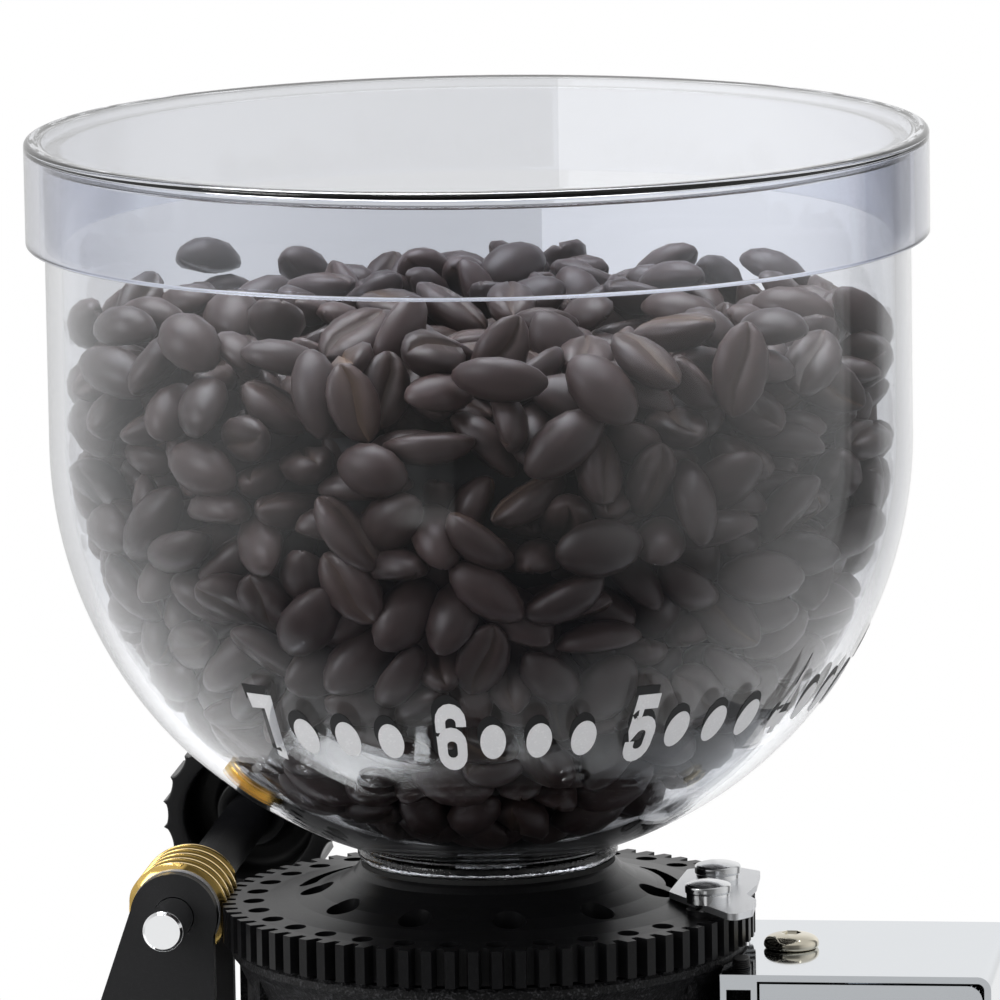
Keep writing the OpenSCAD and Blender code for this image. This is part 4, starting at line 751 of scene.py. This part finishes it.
def settled_beans(rng, steps):
    """Middles and long axes of beans that fill the bowl. Each bean is three balls in a
    row. At each step they sink a little, balls of different beans push each other
    apart, the wall pushes them back in, and each row is made straight again. Beans of
    the heap's top that come to rest on nothing are left out."""
    room = BOWL_R - BOWL_WALL
    wall_gap = 2.8 * MM
    ball_reach, bean_reach = 7 * MM, 9 * MM
    tries = rng.uniform([-room, -room, -room], [room, room, HEAP_Z - MM], (BEAN_COUNT * 4, 3))
    low = tries * [1, 1, 0] + np.minimum(tries, 0) * [0, 0, 1]
    middle = tries[np.linalg.norm(low, axis=1) < room - 5 * MM][:BEAN_COUNT]
    axis = rng.normal(size=(len(middle), 3)) * [1, 1, 0.3]
    axis /= np.linalg.norm(axis, axis=1, keepdims=True)
    owner = np.repeat(np.arange(len(middle)), 3)
    radius = np.tile(BALL_R, len(middle))
    total = len(owner)
    for step in range(steps):
        balls = (middle[:, None] + axis[:, None] * BALL_X[None, :, None]).reshape(-1, 3)
        balls[:, 2] -= 0.05 * MM * max(0, 1 - step / (steps * 0.8))
        if step % 4 == 0:
            a, b = close_pairs(balls, ball_reach)
            other = owner[a] != owner[b]
            a, b = a[other], b[other]
        for _ in range(2):
            apart = balls[a] - balls[b]
            distance = np.sqrt((apart * apart).sum(1)) + 1e-9
            push = radius[a] + radius[b] - distance
            hit = push > 0
            shift = apart[hit] * (0.5 * push[hit] / distance[hit])[:, None]
            hits = np.bincount(a[hit], minlength=total) + np.bincount(b[hit], minlength=total)
            moved = np.stack([np.bincount(a[hit], shift[:, k], total)
                              - np.bincount(b[hit], shift[:, k], total) for k in range(3)], axis=-1)
            balls += 1.5 * moved / np.maximum(hits, 1)[:, None]
            reach = np.stack([balls[:, 0], balls[:, 1], np.minimum(balls[:, 2], 0)], axis=-1)
            length = np.sqrt((reach * reach).sum(1))
            limit = room - np.minimum(radius, wall_gap)
            balls -= reach * (np.maximum(length - limit, 0) / np.maximum(length, 1e-9))[:, None]
        rows = balls.reshape(-1, 3, 3)
        axis = rows[:, 2] - rows[:, 0]
        axis /= np.linalg.norm(axis, axis=1, keepdims=True)
        middle = rows.mean(1)
    a, b = close_pairs(middle, bean_reach)
    drop = middle[a, 2] - middle[b, 2]
    under = np.bincount(a[drop > 2 * MM], minlength=len(middle))
    under += np.bincount(b[drop < -2 * MM], minlength=len(middle))
    held = (under >= 3) | (middle[:, 2] < HEAP_Z - 6 * MM)
    return middle[held], axis[held]


def bean_shape():
    """One bean along X: half an ellipse for its back, and a nearly flat front of two
    lips with a bent cut between them. Its outline is (1 - s^2)^0.58 of its width.
    Returns its points, its quads, its end triangles and the mask of the cut."""
    stations = np.array([-0.965, -0.80, -0.45, 0.0, 0.45, 0.80, 0.965])
    back = np.radians(np.linspace(0, 180, 7))
    width = np.concatenate([np.cos(back), [-0.85, -0.17, 0.0, 0.17, 0.85]])
    height = np.concatenate([np.sin(back) * BEAN_BACK,
                             np.array([-0.64, -1.0, 0.0, -1.0, -0.64]) * BEAN_FLAT])
    cut = np.concatenate([np.zeros(8), [0.2, 1.0, 0.2, 0.0]])
    rows, columns = len(stations), len(width)
    swell = (1 - stations ** 2) ** 0.58
    bend_y = 0.14 * np.sin(stations * math.pi)
    points = np.stack([
        np.repeat(stations[:, None] * BEAN_HALF_L, columns, axis=1),
        (width[None] * swell[:, None] + (cut[None] > 0) * bend_y[:, None]) * BEAN_HALF_W,
        height[None] * swell[:, None] ** 0.9], axis=-1).reshape(-1, 3)
    tips = np.array([[-BEAN_HALF_L, 0, 0.2 * MM], [BEAN_HALF_L, 0, 0.2 * MM]])
    tip, last = rows * columns, (rows - 1) * columns
    ends = [[tip, (j + 1) % columns, j] for j in range(columns)]
    ends += [[tip + 1, last + j, last + (j + 1) % columns] for j in range(columns)]
    mask = np.concatenate([np.tile(cut, rows), [0, 0]])
    return np.vstack([points, tips]), np.array(grid_faces(rows, columns)), np.array(ends), mask


def bean_turns(rng, middle, axis):
    """A rotation for each bean: its long axis as settled, and its thickness either
    towards the wall or upright, because beans lie on their broad side."""
    wall = middle * [1, 1, 0] + np.minimum(middle, 0) * [0, 0, 1]
    depth = BOWL_R - BOWL_WALL - np.linalg.norm(wall, axis=1)
    out = wall / np.maximum(np.linalg.norm(wall, axis=1, keepdims=True), 1e-9)
    count = len(middle)
    loose = rng.normal(size=middle.shape)
    loose /= np.linalg.norm(loose, axis=1, keepdims=True)
    side = np.where(rng.random(count) < 0.70, 1.0, -1.0)[:, None]
    flat = np.where(rng.random(count) < 0.5, 1.0, -1.0)[:, None] * [0, 0, 1.0]
    faces_wall = (rng.random(count) < 0.58)[:, None] & (depth < 7 * MM)[:, None]
    on_heap = (middle[:, 2] > HEAP_Z - 12 * MM)[:, None]
    up = np.where(faces_wall, out * side, flat) + loose * np.where(on_heap, 0.75, 0.32)
    up -= (up * axis).sum(1, keepdims=True) * axis
    up /= np.linalg.norm(up, axis=1, keepdims=True)
    return np.stack([axis, np.cross(up, axis), up], axis=-1), depth


def inside_wall(points):
    """Beans moved inwards by as much as any of their points passes the bowl's wall."""
    wall = points * [1, 1, 0] + np.minimum(points, 0) * [0, 0, 1]
    length = np.linalg.norm(wall, axis=-1)
    worst = length.argmax(1)
    row = np.arange(len(points))
    over = np.maximum(length[row, worst] - (BOWL_R - BOWL_WALL - 0.12 * MM), 0)
    return points - (wall[row, worst] / length[row, worst, None] * over[:, None])[:, None]


def bean_pieces():
    """The beans that can be seen, as three pieces: against the wall, behind them, on top."""
    rng = np.random.default_rng(BEAN_SEED)
    middle, axis = settled_beans(rng, 160)
    turn, depth = bean_turns(rng, middle, axis)
    shape, quads, thirds, cut = bean_shape()
    size = np.clip(rng.normal(1.0, 0.07, (len(middle), 1, 3)), 0.86, 1.14)
    tone = np.clip(rng.normal(0.42, 0.16, len(middle)), 0, 1)
    pale = np.where(rng.random(len(middle)) < 0.2, rng.uniform(0.4, 0.9, len(middle)), 0.20)
    top = middle[:, 2] > HEAP_Z - BEAN_SEEN_DEPTH
    groups = {
        "beans_at_wall": depth < WALL_LAYER,
        "beans_on_top": top & (depth >= WALL_LAYER),
        "beans_behind": ~top & (depth >= WALL_LAYER) & (depth < BEAN_SEEN_DEPTH),
    }
    for name, chosen in groups.items():
        which = np.flatnonzero(chosen)
        points = np.einsum("nij,nkj->nki", turn[which], shape[None] * size[which])
        points = inside_wall(points + middle[which][:, None]) + [0, 0, BOWL_Z]
        shift = np.arange(len(which))[:, None, None] * len(shape)
        every = (quads[None] + shift).reshape(-1, 4).tolist()
        every += (thirds[None] + shift).reshape(-1, 3).tolist()
        piece = new_piece(name, points, every, "adjuster", BEAN, "rubber")
        marks = np.ones((len(which), len(shape), 4), np.float32)
        marks[..., 0] = tone[which][:, None]
        marks[..., 1] = cut[None]
        marks[..., 2] = pale[which][:, None]
        roast = piece.data.attributes.new("roast", "FLOAT_COLOR", "POINT")
        roast.data.foreach_set("color", marks.ravel())


def bean_core():
    """Painted shade between the beans: a closed turned body a fixed depth inside the
    wall, a quarter circle below and flat on top, in near-black for the dark deep in the heap."""
    radius = BOWL_R - BOWL_WALL - CORE_DEPTH
    top = HEAP_Z - CORE_DEPTH
    profile = joined(arc((0, 0), radius, -90, 0, 16), (radius, top), (0, top))
    points, faces = turned(profile, 48, closed=False)
    return points + [0, 0, BOWL_Z], faces


bean_pieces()
# painted shade: a near-black body deep in the heap stands in for the dark between the beans there
new_piece("heap_painted_shade", *bean_core(), "adjuster", PAINTED_SHADE_BLACK, "rubber")


# ---------------------------------------------------------------- worm drive

def worm_piece():
    """The worm as a height field round its axis: the radius follows a rounded crest
    wherever Y is one lead on for each turn, cut off square at both ends."""
    low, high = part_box("worm")
    pitch_r = RING_R - 0.7 * MM
    lead = 2 * math.pi * pitch_r / RING_TEETH
    tooth_h, tooth_half, flank = 1.7 * MM, 0.95 * MM, 0.65 * MM
    bore = 3.0 * MM
    tooth_turn = math.radians(-1.2)
    pitch = 2 * math.pi / RING_TEETH
    gap = math.radians(-90) + tooth_turn + pitch / 2
    gap += round((math.pi - gap) / pitch) * pitch
    mesh_y = -pitch_r * math.sin(math.pi - gap)
    columns, rows = 128, 200
    turn = np.arange(columns) * 2 * math.pi / columns
    y = np.linspace(low.y, high.y, rows)
    grid_y, grid_t = np.meshgrid(y, turn, indexing="ij")
    phase = (grid_y - mesh_y) / lead - grid_t / (2 * math.pi)
    off = np.abs(phase - np.round(phase)) * lead
    crest = np.clip((tooth_half - off) / flank, 0, 1)
    crest = crest * crest * (3 - 2 * crest)
    radius = WORM_R - tooth_h + tooth_h * crest
    outer = np.stack([WORM_X + radius * np.cos(grid_t), grid_y,
                      WORM_Z - radius * np.sin(grid_t)], axis=-1)
    ends = []
    for row in (0, -1):
        end = outer[row].copy()
        end[:, 0] = WORM_X + bore * np.cos(turn)
        end[:, 2] = WORM_Z - bore * np.sin(turn)
        ends.append(end)
    points = np.concatenate([ends[0][None], outer, ends[1][None]])
    return points, grid_faces(rows + 2, columns, wrap_rows=True)


new_piece("worm_thread", *worm_piece(), "worm_drive", MATERIALS["brass"], "brass", ["worm"])


def knob_piece():
    """The cupped knob as one closed section turned round the shaft. Towards its rim the
    radius is less by the scallop: r = r0 - d sqrt(1 - u^2), with u from -1 to 1 over
    each scallop, which leaves sharp crests between round hollows."""
    low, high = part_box("adjusting_knob")
    rim = low.y + KNOB_BACK
    depth = high.y - rim
    soft, bore, skin = 0.35 * MM, 3.05 * MM, 1.2 * MM
    floor_at = depth - 4 * MM
    section = joined(
        (bore, KNOB_HUB_IN), (KNOB_HUB_R - soft, KNOB_HUB_IN),
        arc((KNOB_HUB_R - soft, KNOB_HUB_IN + soft), soft, -90, 0, 3),
        line((KNOB_HUB_R, KNOB_HUB_IN + soft), (KNOB_HUB_R, floor_at), 3),
        line((KNOB_HUB_R, floor_at), (KNOB_CUP_R, floor_at), 3),
        line((KNOB_CUP_R, floor_at), (KNOB_CUP_R, soft), 4),
        arc((KNOB_CUP_R + soft, soft), soft, 180, 270, 3),
        line((KNOB_CUP_R + soft, 0), (KNOB_R - soft, 0), 3),
        arc((KNOB_R - soft, soft), soft, -90, 0, 3),
        line((KNOB_R, soft), (KNOB_R, depth - soft), 4),
        arc((KNOB_R - soft, depth - soft), soft, 0, 90, 3),
        line((KNOB_R - soft, depth), (bore, depth), 3),
    )
    steps_each = 10
    segments = KNOB_CRESTS * steps_each
    points, faces = turned(section, segments, closed=True)
    x, y, z = points.T
    radius = np.hypot(x, y)
    turn = (np.arange(segments) / steps_each) % 1.0
    hollow = KNOB_SCALLOP * np.sqrt(np.clip(1 - (2 * turn - 1) ** 2, 0, 1))
    share = np.clip((radius - KNOB_CUP_R - skin) / (KNOB_R - KNOB_CUP_R - skin), 0, 1)
    scale = 1 - np.tile(hollow, len(section)) * share / np.maximum(radius, 1e-9)
    x, y = x * scale, y * scale
    return np.stack([WORM_X + x, rim + z, WORM_Z - y], axis=-1), faces


def sleeve_piece():
    """A thin black sleeve over the shaft, from the bracket to the knob's hub: a turned
    rectangle with softened outer corners."""
    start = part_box("knob_sleeve")[0].y
    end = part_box("adjusting_knob")[0].y + KNOB_BACK + KNOB_HUB_IN
    bore, outer, soft = 3.02 * MM, 3.55 * MM, 0.2 * MM
    section = joined((bore, start), (outer - soft, start), (outer, start + soft),
                     line((outer, start + soft), (outer, end - soft), 8),
                     (outer - soft, end), (bore, end))
    return turned_about_y(section, 64, WORM_X, WORM_Z)


new_piece("knob_cup", *knob_piece(), "worm_drive", MATERIALS["black_plastic"],
          "black_plastic", ["adjusting_knob"])
new_piece("shaft_sleeve", *sleeve_piece(), "worm_drive", SLEEVE_BLACK, "black_plastic",
          ["knob_sleeve"])


# ------------------------------------------------- small pieces round the ring

PLATE_HEAD_R = 3.4 * MM


def plate_screw(x, y, washer_top):
    """A low domed head on its shank: the dome is a cap of a sphere."""
    side_h, rise, soft, shank_r = 1.25 * MM, 0.65 * MM, 0.15 * MM, 1.9 * MM
    sphere_r = (PLATE_HEAD_R ** 2 + rise ** 2) / (2 * rise)
    edge = math.degrees(math.acos((PLATE_HEAD_R - soft) / sphere_r))
    shank_z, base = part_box("stop_plate_screws")[0].z, washer_top + SEAT_GAP
    section = joined(
        (0, shank_z), (shank_r, shank_z), line((shank_r, shank_z), (shank_r, base), 3),
        arc((PLATE_HEAD_R - soft, base + soft), soft, -90, 0, 4),
        line((PLATE_HEAD_R, base + soft), (PLATE_HEAD_R, washer_top + side_h - soft), 3),
        arc((0, washer_top + side_h + rise - sphere_r), sphere_r, edge, 90, 14),
    )
    points, faces = turned(section, 64, closed=False)
    return points + [x, y, 0], faces


def block_piece():
    """The stop block: a slim post of five rounded ribs. The radius over the height is
    r0 + r1 |sin|^0.45 of five half waves, less a little taper, and is wider along Y."""
    low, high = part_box("stop_block")
    x, y = 0.5 * (low.x + high.x), 0.5 * (low.y + high.y)
    top, foot = high.z - SEAT_GAP, low.z + SEAT_GAP
    ribs, widening = 5, 1.7
    height = np.linspace(0, 1, 61)
    wave = np.abs(np.sin(height * ribs * math.pi)) ** 0.45
    radius = (1.05 + 0.32 * wave - 0.12 * height) * MM
    section = np.vstack([[(0, foot)], np.stack([radius, foot + (top - foot) * height], axis=-1),
                         [(0, top)]])
    points, faces = turned(section, 48, closed=False)
    return points * [1.0, widening, 1.0] + [x, y, 0], faces


def gusset_piece():
    """The gusset behind the bracket's rear ear, on the side towards the mill: an upright
    plate with bevelled edges, whose depth lessens evenly from its foot to its top."""
    low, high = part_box("worm_bracket")
    inner, thick, bevel = high.x + 3.0 * MM, 2.8 * MM, 0.25 * MM
    start, foot_end, top_end = 9.6 * MM, 20.0 * MM, 16.0 * MM
    outline = np.array([(bevel, 0), (thick - bevel, 0), (thick, bevel), (thick, -bevel),
                        (thick - bevel, 0), (bevel, 0), (0, -bevel), (0, bevel)])
    at_end = np.array([0, 0, 0, 1, 1, 1, 1, 0])
    rows, columns = 6, len(outline)
    share = np.linspace(0, 1, rows)[:, None]
    end = foot_end + (top_end - foot_end) * share
    y = start + outline[None, :, 1] + at_end * (end - start)
    x = np.broadcast_to(inner - outline[None, :, 0], y.shape)
    z_low, z_high = low.z + 2.0 * MM, RING_Z - 9.0 * MM
    z = np.broadcast_to(z_low + (z_high - z_low) * share, y.shape)
    faces = [face[::-1] for face in grid_faces(rows, columns)]
    last_row = range((rows - 1) * columns, rows * columns)
    faces += [list(range(columns)), list(reversed(last_row))]
    return np.stack([x, y, z], axis=-1).reshape(-1, 3), faces


def button_screw_piece():
    """The saddle's button-head screw: a low dome z = h (1 - u^p)^(1/p) over a small
    lower round, with a hexagon socket whose wall lies at a / cos of the angle from the
    middle of its flat."""
    low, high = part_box("saddle_screw")
    base, head_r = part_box("saddle_strap")[1].z + SEAT_GAP, 0.5 * (high.x - low.x)
    socket_a, socket_h, shank_r = 1.25 * MM, 1.3 * MM, 2.4 * MM
    lower, power = 0.55 * MM, 2.6
    top = base + 2.25 * MM
    dome = np.linspace(0, math.pi / 2, 22)
    dome_r = head_r * np.cos(dome) ** (2 / power)
    dome_z = base + lower + (top - base - lower) * np.sin(dome) ** (2 / power)
    keep = dome_r > socket_a * 1.22
    socket = [(socket_a * 1.06, top - 0.01 * MM), (socket_a, top - 0.10 * MM),
              (socket_a, top - socket_h), (0, top - socket_h - 0.3 * MM)]
    section = joined(
        (0, low.z), (shank_r, low.z), line((shank_r, low.z), (shank_r, base), 3),
        arc((head_r - lower, base + lower), lower, -90, 0, 6),
        np.stack([dome_r[keep], dome_z[keep]], axis=-1), socket)
    points, faces = turned(section, 96, closed=False)
    x, y, z = points.T
    radius, turn = np.hypot(x, y), np.arctan2(y, x)
    flat = np.mod(turn, math.pi / 3) - math.pi / 6
    hexed = (z > top - socket_h - 0.01 * MM) & (radius < socket_a * 1.1) & (radius > 0)
    grow = np.where(hexed, 1 / np.cos(flat), 1.0)
    middle = 0.5 * (low + high)
    return np.stack([x * grow + middle.x, y * grow + middle.y, z], axis=-1), faces


washer_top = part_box("stop_plate_washers")[1].z
head_low, head_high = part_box("stop_plate_screws")
head_x = 0.5 * (head_low.x + head_high.x)
head_rows = (head_low.y + PLATE_HEAD_R, head_high.y - PLATE_HEAD_R)
heads = [plate_screw(head_x, head_y, washer_top) for head_y in head_rows]
new_piece("plate_screws", *merged(heads), "adjuster", MATERIALS["zinc_screws"], "zinc_screws",
          ["stop_plate_screws"])
new_piece("ribbed_block", *block_piece(), "housing", BLOCK_RUBBER, "rubber", ["stop_block"])
new_piece("bracket_gusset", *gusset_piece(), "housing", MATERIALS["black_coated_steel"],
          "black_coated_steel", smooth=False)
new_piece("saddle_button_screw", *button_screw_piece(), "housing", MATERIALS["nickel_screw"],
          "nickel_screw", ["saddle_screw"])


# ------------------------------------------------------- floor, light, camera

FLOOR_R = 1.1
FLOOR_FADE_START = 0.5
FLOOR_FADE_END = 1.0


def floor_material():
    """Pale floor that takes the object's shadow nearby and runs out to plain white.
    Gloss and clear plastic see it darker in front, and see past its far parts."""
    made, tree, shader = material("studio_floor")
    shader.inputs["Roughness"].default_value = 0.7
    shader.inputs["Specular IOR Level"].default_value = 0.2
    place = add(tree, "ShaderNodeTexCoord")
    split = add(tree, "ShaderNodeSeparateXYZ", links={0: place.outputs["Object"]})
    front = add(tree, "ShaderNodeMapRange", {"From Min": 0.05, "From Max": -0.25},
                {"Value": split.outputs[1]})
    path = add(tree, "ShaderNodeLightPath")
    mask = maths(tree, "MULTIPLY", front.outputs[0], gloss_or_glass(tree, path))
    two_tones(tree, shader, mask, (0.86, 0.86, 0.86), (0.045, 0.045, 0.05))
    length = add(tree, "ShaderNodeVectorMath", operation="LENGTH",
                 links={0: place.outputs["Object"]})
    far = add(tree, "ShaderNodeMapRange", {"From Min": FLOOR_FADE_START,
                                           "From Max": FLOOR_FADE_END},
              {"Value": length.outputs["Value"]})
    white = add(tree, "ShaderNodeEmission", {"Color": (1, 1, 1, 1), "Strength": 1.0})
    clear = add(tree, "ShaderNodeBsdfTransparent")
    ends = shader_mix(tree, path.outputs["Is Camera Ray"], clear, white)
    mix = shader_mix(tree, far.outputs[0], shader, ends)
    tree.links.new(mix.outputs[0], tree.nodes["Material Output"].inputs["Surface"])
    return made


def ramp(tree, value, stops):
    """A grey ramp over (position, brightness) stops."""
    made = add(tree, "ShaderNodeValToRGB", links={0: value})
    elements = made.color_ramp.elements
    while len(elements) < len(stops):
        elements.new(0.5)
    for element, (position, bright) in zip(elements, stops):
        element.position = position
        element.color = (bright, bright, bright, 1)
    return made.outputs[0]


# brightness of the studio's wall by heading, below and above the horizon; 0.5 is
# straight behind the object
WALL_LOW = [
    (0.0, 0.10), (0.055, 0.14), (0.099, 0.32), (0.164, 0.62), (0.221, 0.70), (0.274, 0.70),
    (0.324, 0.88), (0.42, 0.74), (0.481, 0.71), (0.52, 0.69), (0.56, 0.48), (0.603, 0.40),
    (0.607, 0.17), (0.658, 0.17), (0.660, 0.54), (0.716, 0.615), (0.794, 0.477), (0.861, 0.37),
    (0.905, 0.154), (1.0, 0.077),
]
WALL_HIGH = [
    (0.0, 0.10), (0.055, 0.14), (0.099, 0.38), (0.164, 0.70), (0.221, 0.80), (0.324, 1.0),
    (0.42, 0.84), (0.481, 0.79), (0.56, 0.82), (0.603, 0.82), (0.607, 0.22), (0.658, 0.22),
    (0.660, 0.615), (0.716, 0.70), (0.794, 0.557), (0.861, 0.37), (0.905, 0.148), (1.0, 0.082),
]
# the wall's sharp edge below and above the horizon: its heading, and the light past it
EDGE_LOW = (0.48173, 1.30)
EDGE_HIGH = (0.48112, 1.17)
# a soft white card low in front, which the flat steel faces mirror
CARD = [(0.0, 0.61), (0.0198, 0.61), (0.0205, 0.92), (1.0, 0.92)]
CARD_TURN = (0.0175, 0.0115)
CARD_HEIGHT = (0.3925, 0.0100)
# the ceiling's brightness, and the room's light by height
CEILING = 0.62
ROOM_RISE = [(0.0, 0.12), (0.45, 0.14), (0.75, 0.50), (1.0, 0.80)]


def studio_world():
    """White to the camera. Gloss and clear plastic see the studio round the object: a
    pale two-toned wall behind, white panels to the sides and a dark room in front."""
    world = bpy.data.worlds.new("studio")
    world.use_nodes = True
    tree = world.node_tree
    tree.nodes.clear()
    place = add(tree, "ShaderNodeTexCoord")
    split = add(tree, "ShaderNodeSeparateXYZ", links={0: place.outputs["Generated"]})
    heading = maths(tree, "ARCTAN2", split.outputs[0], split.outputs[1])
    turn = maths(tree, "ADD", maths(tree, "DIVIDE", heading, 2 * math.pi), 0.5)
    height = maths(tree, "ADD", maths(tree, "DIVIDE", split.outputs[2], 2.0), 0.5)
    above = add(tree, "ShaderNodeMapRange", {"From Min": 0.44, "From Max": 0.56},
                {"Value": height})
    walls = colour_mix(tree, above.outputs[0], edged(tree, turn, WALL_LOW, EDGE_LOW),
                       edged(tree, turn, WALL_HIGH, EDGE_HIGH))
    overhead = add(tree, "ShaderNodeMapRange", {"From Min": 0.68, "From Max": 0.88},
                   {"Value": height})
    risen = colour_mix(tree, overhead.outputs[0], walls, (CEILING, CEILING, CEILING))
    on_card = maths(tree, "MULTIPLY", near(tree, turn, CARD_TURN),
                    near(tree, height, CARD_HEIGHT))
    studio = colour_mix(tree, on_card, risen, ramp(tree, turn, CARD))
    path = add(tree, "ShaderNodeLightPath")
    room = add(tree, "ShaderNodeBackground", {"Strength": 1.0}, {"Color": studio})
    soft = add(tree, "ShaderNodeBackground", {"Strength": 1.0},
               {"Color": ramp(tree, height, ROOM_RISE)})
    white = add(tree, "ShaderNodeBackground", {"Color": (1, 1, 1, 1), "Strength": 1.0})
    around = shader_mix(tree, gloss_or_glass(tree, path), soft, room)
    mix = shader_mix(tree, path.outputs["Is Camera Ray"], around, white)
    out = add(tree, "ShaderNodeOutputWorld")
    tree.links.new(mix.outputs[0], out.inputs["Surface"])
    bpy.context.scene.world = world


def edged(tree, turn, stops, edge):
    """A colour ramp that is brighter by a factor past a sharp edge = (place, factor)."""
    past = maths(tree, "GREATER_THAN", turn, edge[0])
    lift = maths(tree, "ADD", maths(tree, "MULTIPLY", past, edge[1] - 1.0), 1.0)
    made = add(tree, "ShaderNodeVectorMath", links={0: ramp(tree, turn, stops), "Scale": lift},
               operation="SCALE")
    return made.outputs[0]


def near(tree, value, span):
    """1 where a value lies within span = (middle, half width), fading to 0 at thrice it."""
    off = maths(tree, "ABSOLUTE", maths(tree, "SUBTRACT", value, span[0]))
    made = add(tree, "ShaderNodeMapRange", {
        "From Min": span[1], "From Max": 3 * span[1], "To Min": 1.0, "To Max": 0.0},
        {"Value": off})
    return made.outputs[0]


def lamp(name, place, aim, size, power):
    """A square area lamp that looks at a point."""
    data = bpy.data.lights.new(name, "AREA")
    data.shape = "RECTANGLE"
    data.size, data.size_y = size
    data.energy = power
    made = bpy.data.objects.new(name, data)
    bpy.context.scene.collection.objects.link(made)
    made.location = place
    made.rotation_euler = (Vector(aim) - Vector(place)).to_track_quat("-Z", "Y").to_euler()
    return made


def set_camera():
    """The camera looks down by its elevation from the right of the front. It aims at a
    point on the hopper's axis, moved a little to the side, and has a slight roll."""
    yaw, elevation, roll = 0.125, 0.1673, -0.016
    distance, side, height, focal = 1.5, 2.62 * MM, 59.5 * MM, 10.186
    right = np.array([math.cos(yaw), math.sin(yaw), 0])
    level = np.array([-math.sin(yaw), math.cos(yaw), 0])
    up = np.array([0, 0, 1.0])
    forward = level * math.cos(elevation) - up * math.sin(elevation)
    raised = up * math.cos(elevation) + level * math.sin(elevation)
    x_axis = right * math.cos(roll) + raised * math.sin(roll)
    y_axis = raised * math.cos(roll) - right * math.sin(roll)
    aim = right * side + up * (RING_Z + height)
    data = bpy.data.cameras.new("camera")
    data.sensor_width = 36.0
    data.lens = 36.0 * focal
    data.clip_start = 0.05
    data.clip_end = 60.0
    made = bpy.data.objects.new("camera", data)
    bpy.context.scene.collection.objects.link(made)
    basis = np.eye(4)
    basis[:3, 0], basis[:3, 1], basis[:3, 2] = x_axis, y_axis, -forward
    basis[:3, 3] = aim - forward * distance
    made.matrix_world = Matrix(basis.tolist())
    bpy.context.scene.camera = made


floor_mesh = bpy.data.meshes.new("floor")
floor_mesh.from_pydata([(-FLOOR_R, -FLOOR_R, 0), (FLOOR_R, -FLOOR_R, 0), (FLOOR_R, FLOOR_R, 0),
                        (-FLOOR_R, FLOOR_R, 0)], [], [(0, 1, 2, 3)])
floor_mesh.materials.append(floor_material())
floor = bpy.data.objects.new("floor", floor_mesh)
bpy.context.scene.collection.objects.link(floor)

studio_world()
lamp("overhead_lamp", (-0.2, 0.15, 1.3), (0, 0, 0.3), (1.0, 0.8), 14.0)
for side_x, power in ((-1.0, 2.2), (0.95, 1.8)):
    side_lamp = lamp("low_lamp", (side_x, -0.95, 0.36), (0, 0, 0.25), (0.4, 0.3), power)
    side_lamp.visible_glossy = False
    side_lamp.visible_transmission = False
lamp("left_lamp", (-1.0, -0.75, 0.9), (0, 0, 0.28), (0.6, 0.6), 5.0)
set_camera()

bpy.context.scene.view_settings.view_transform = "Standard"
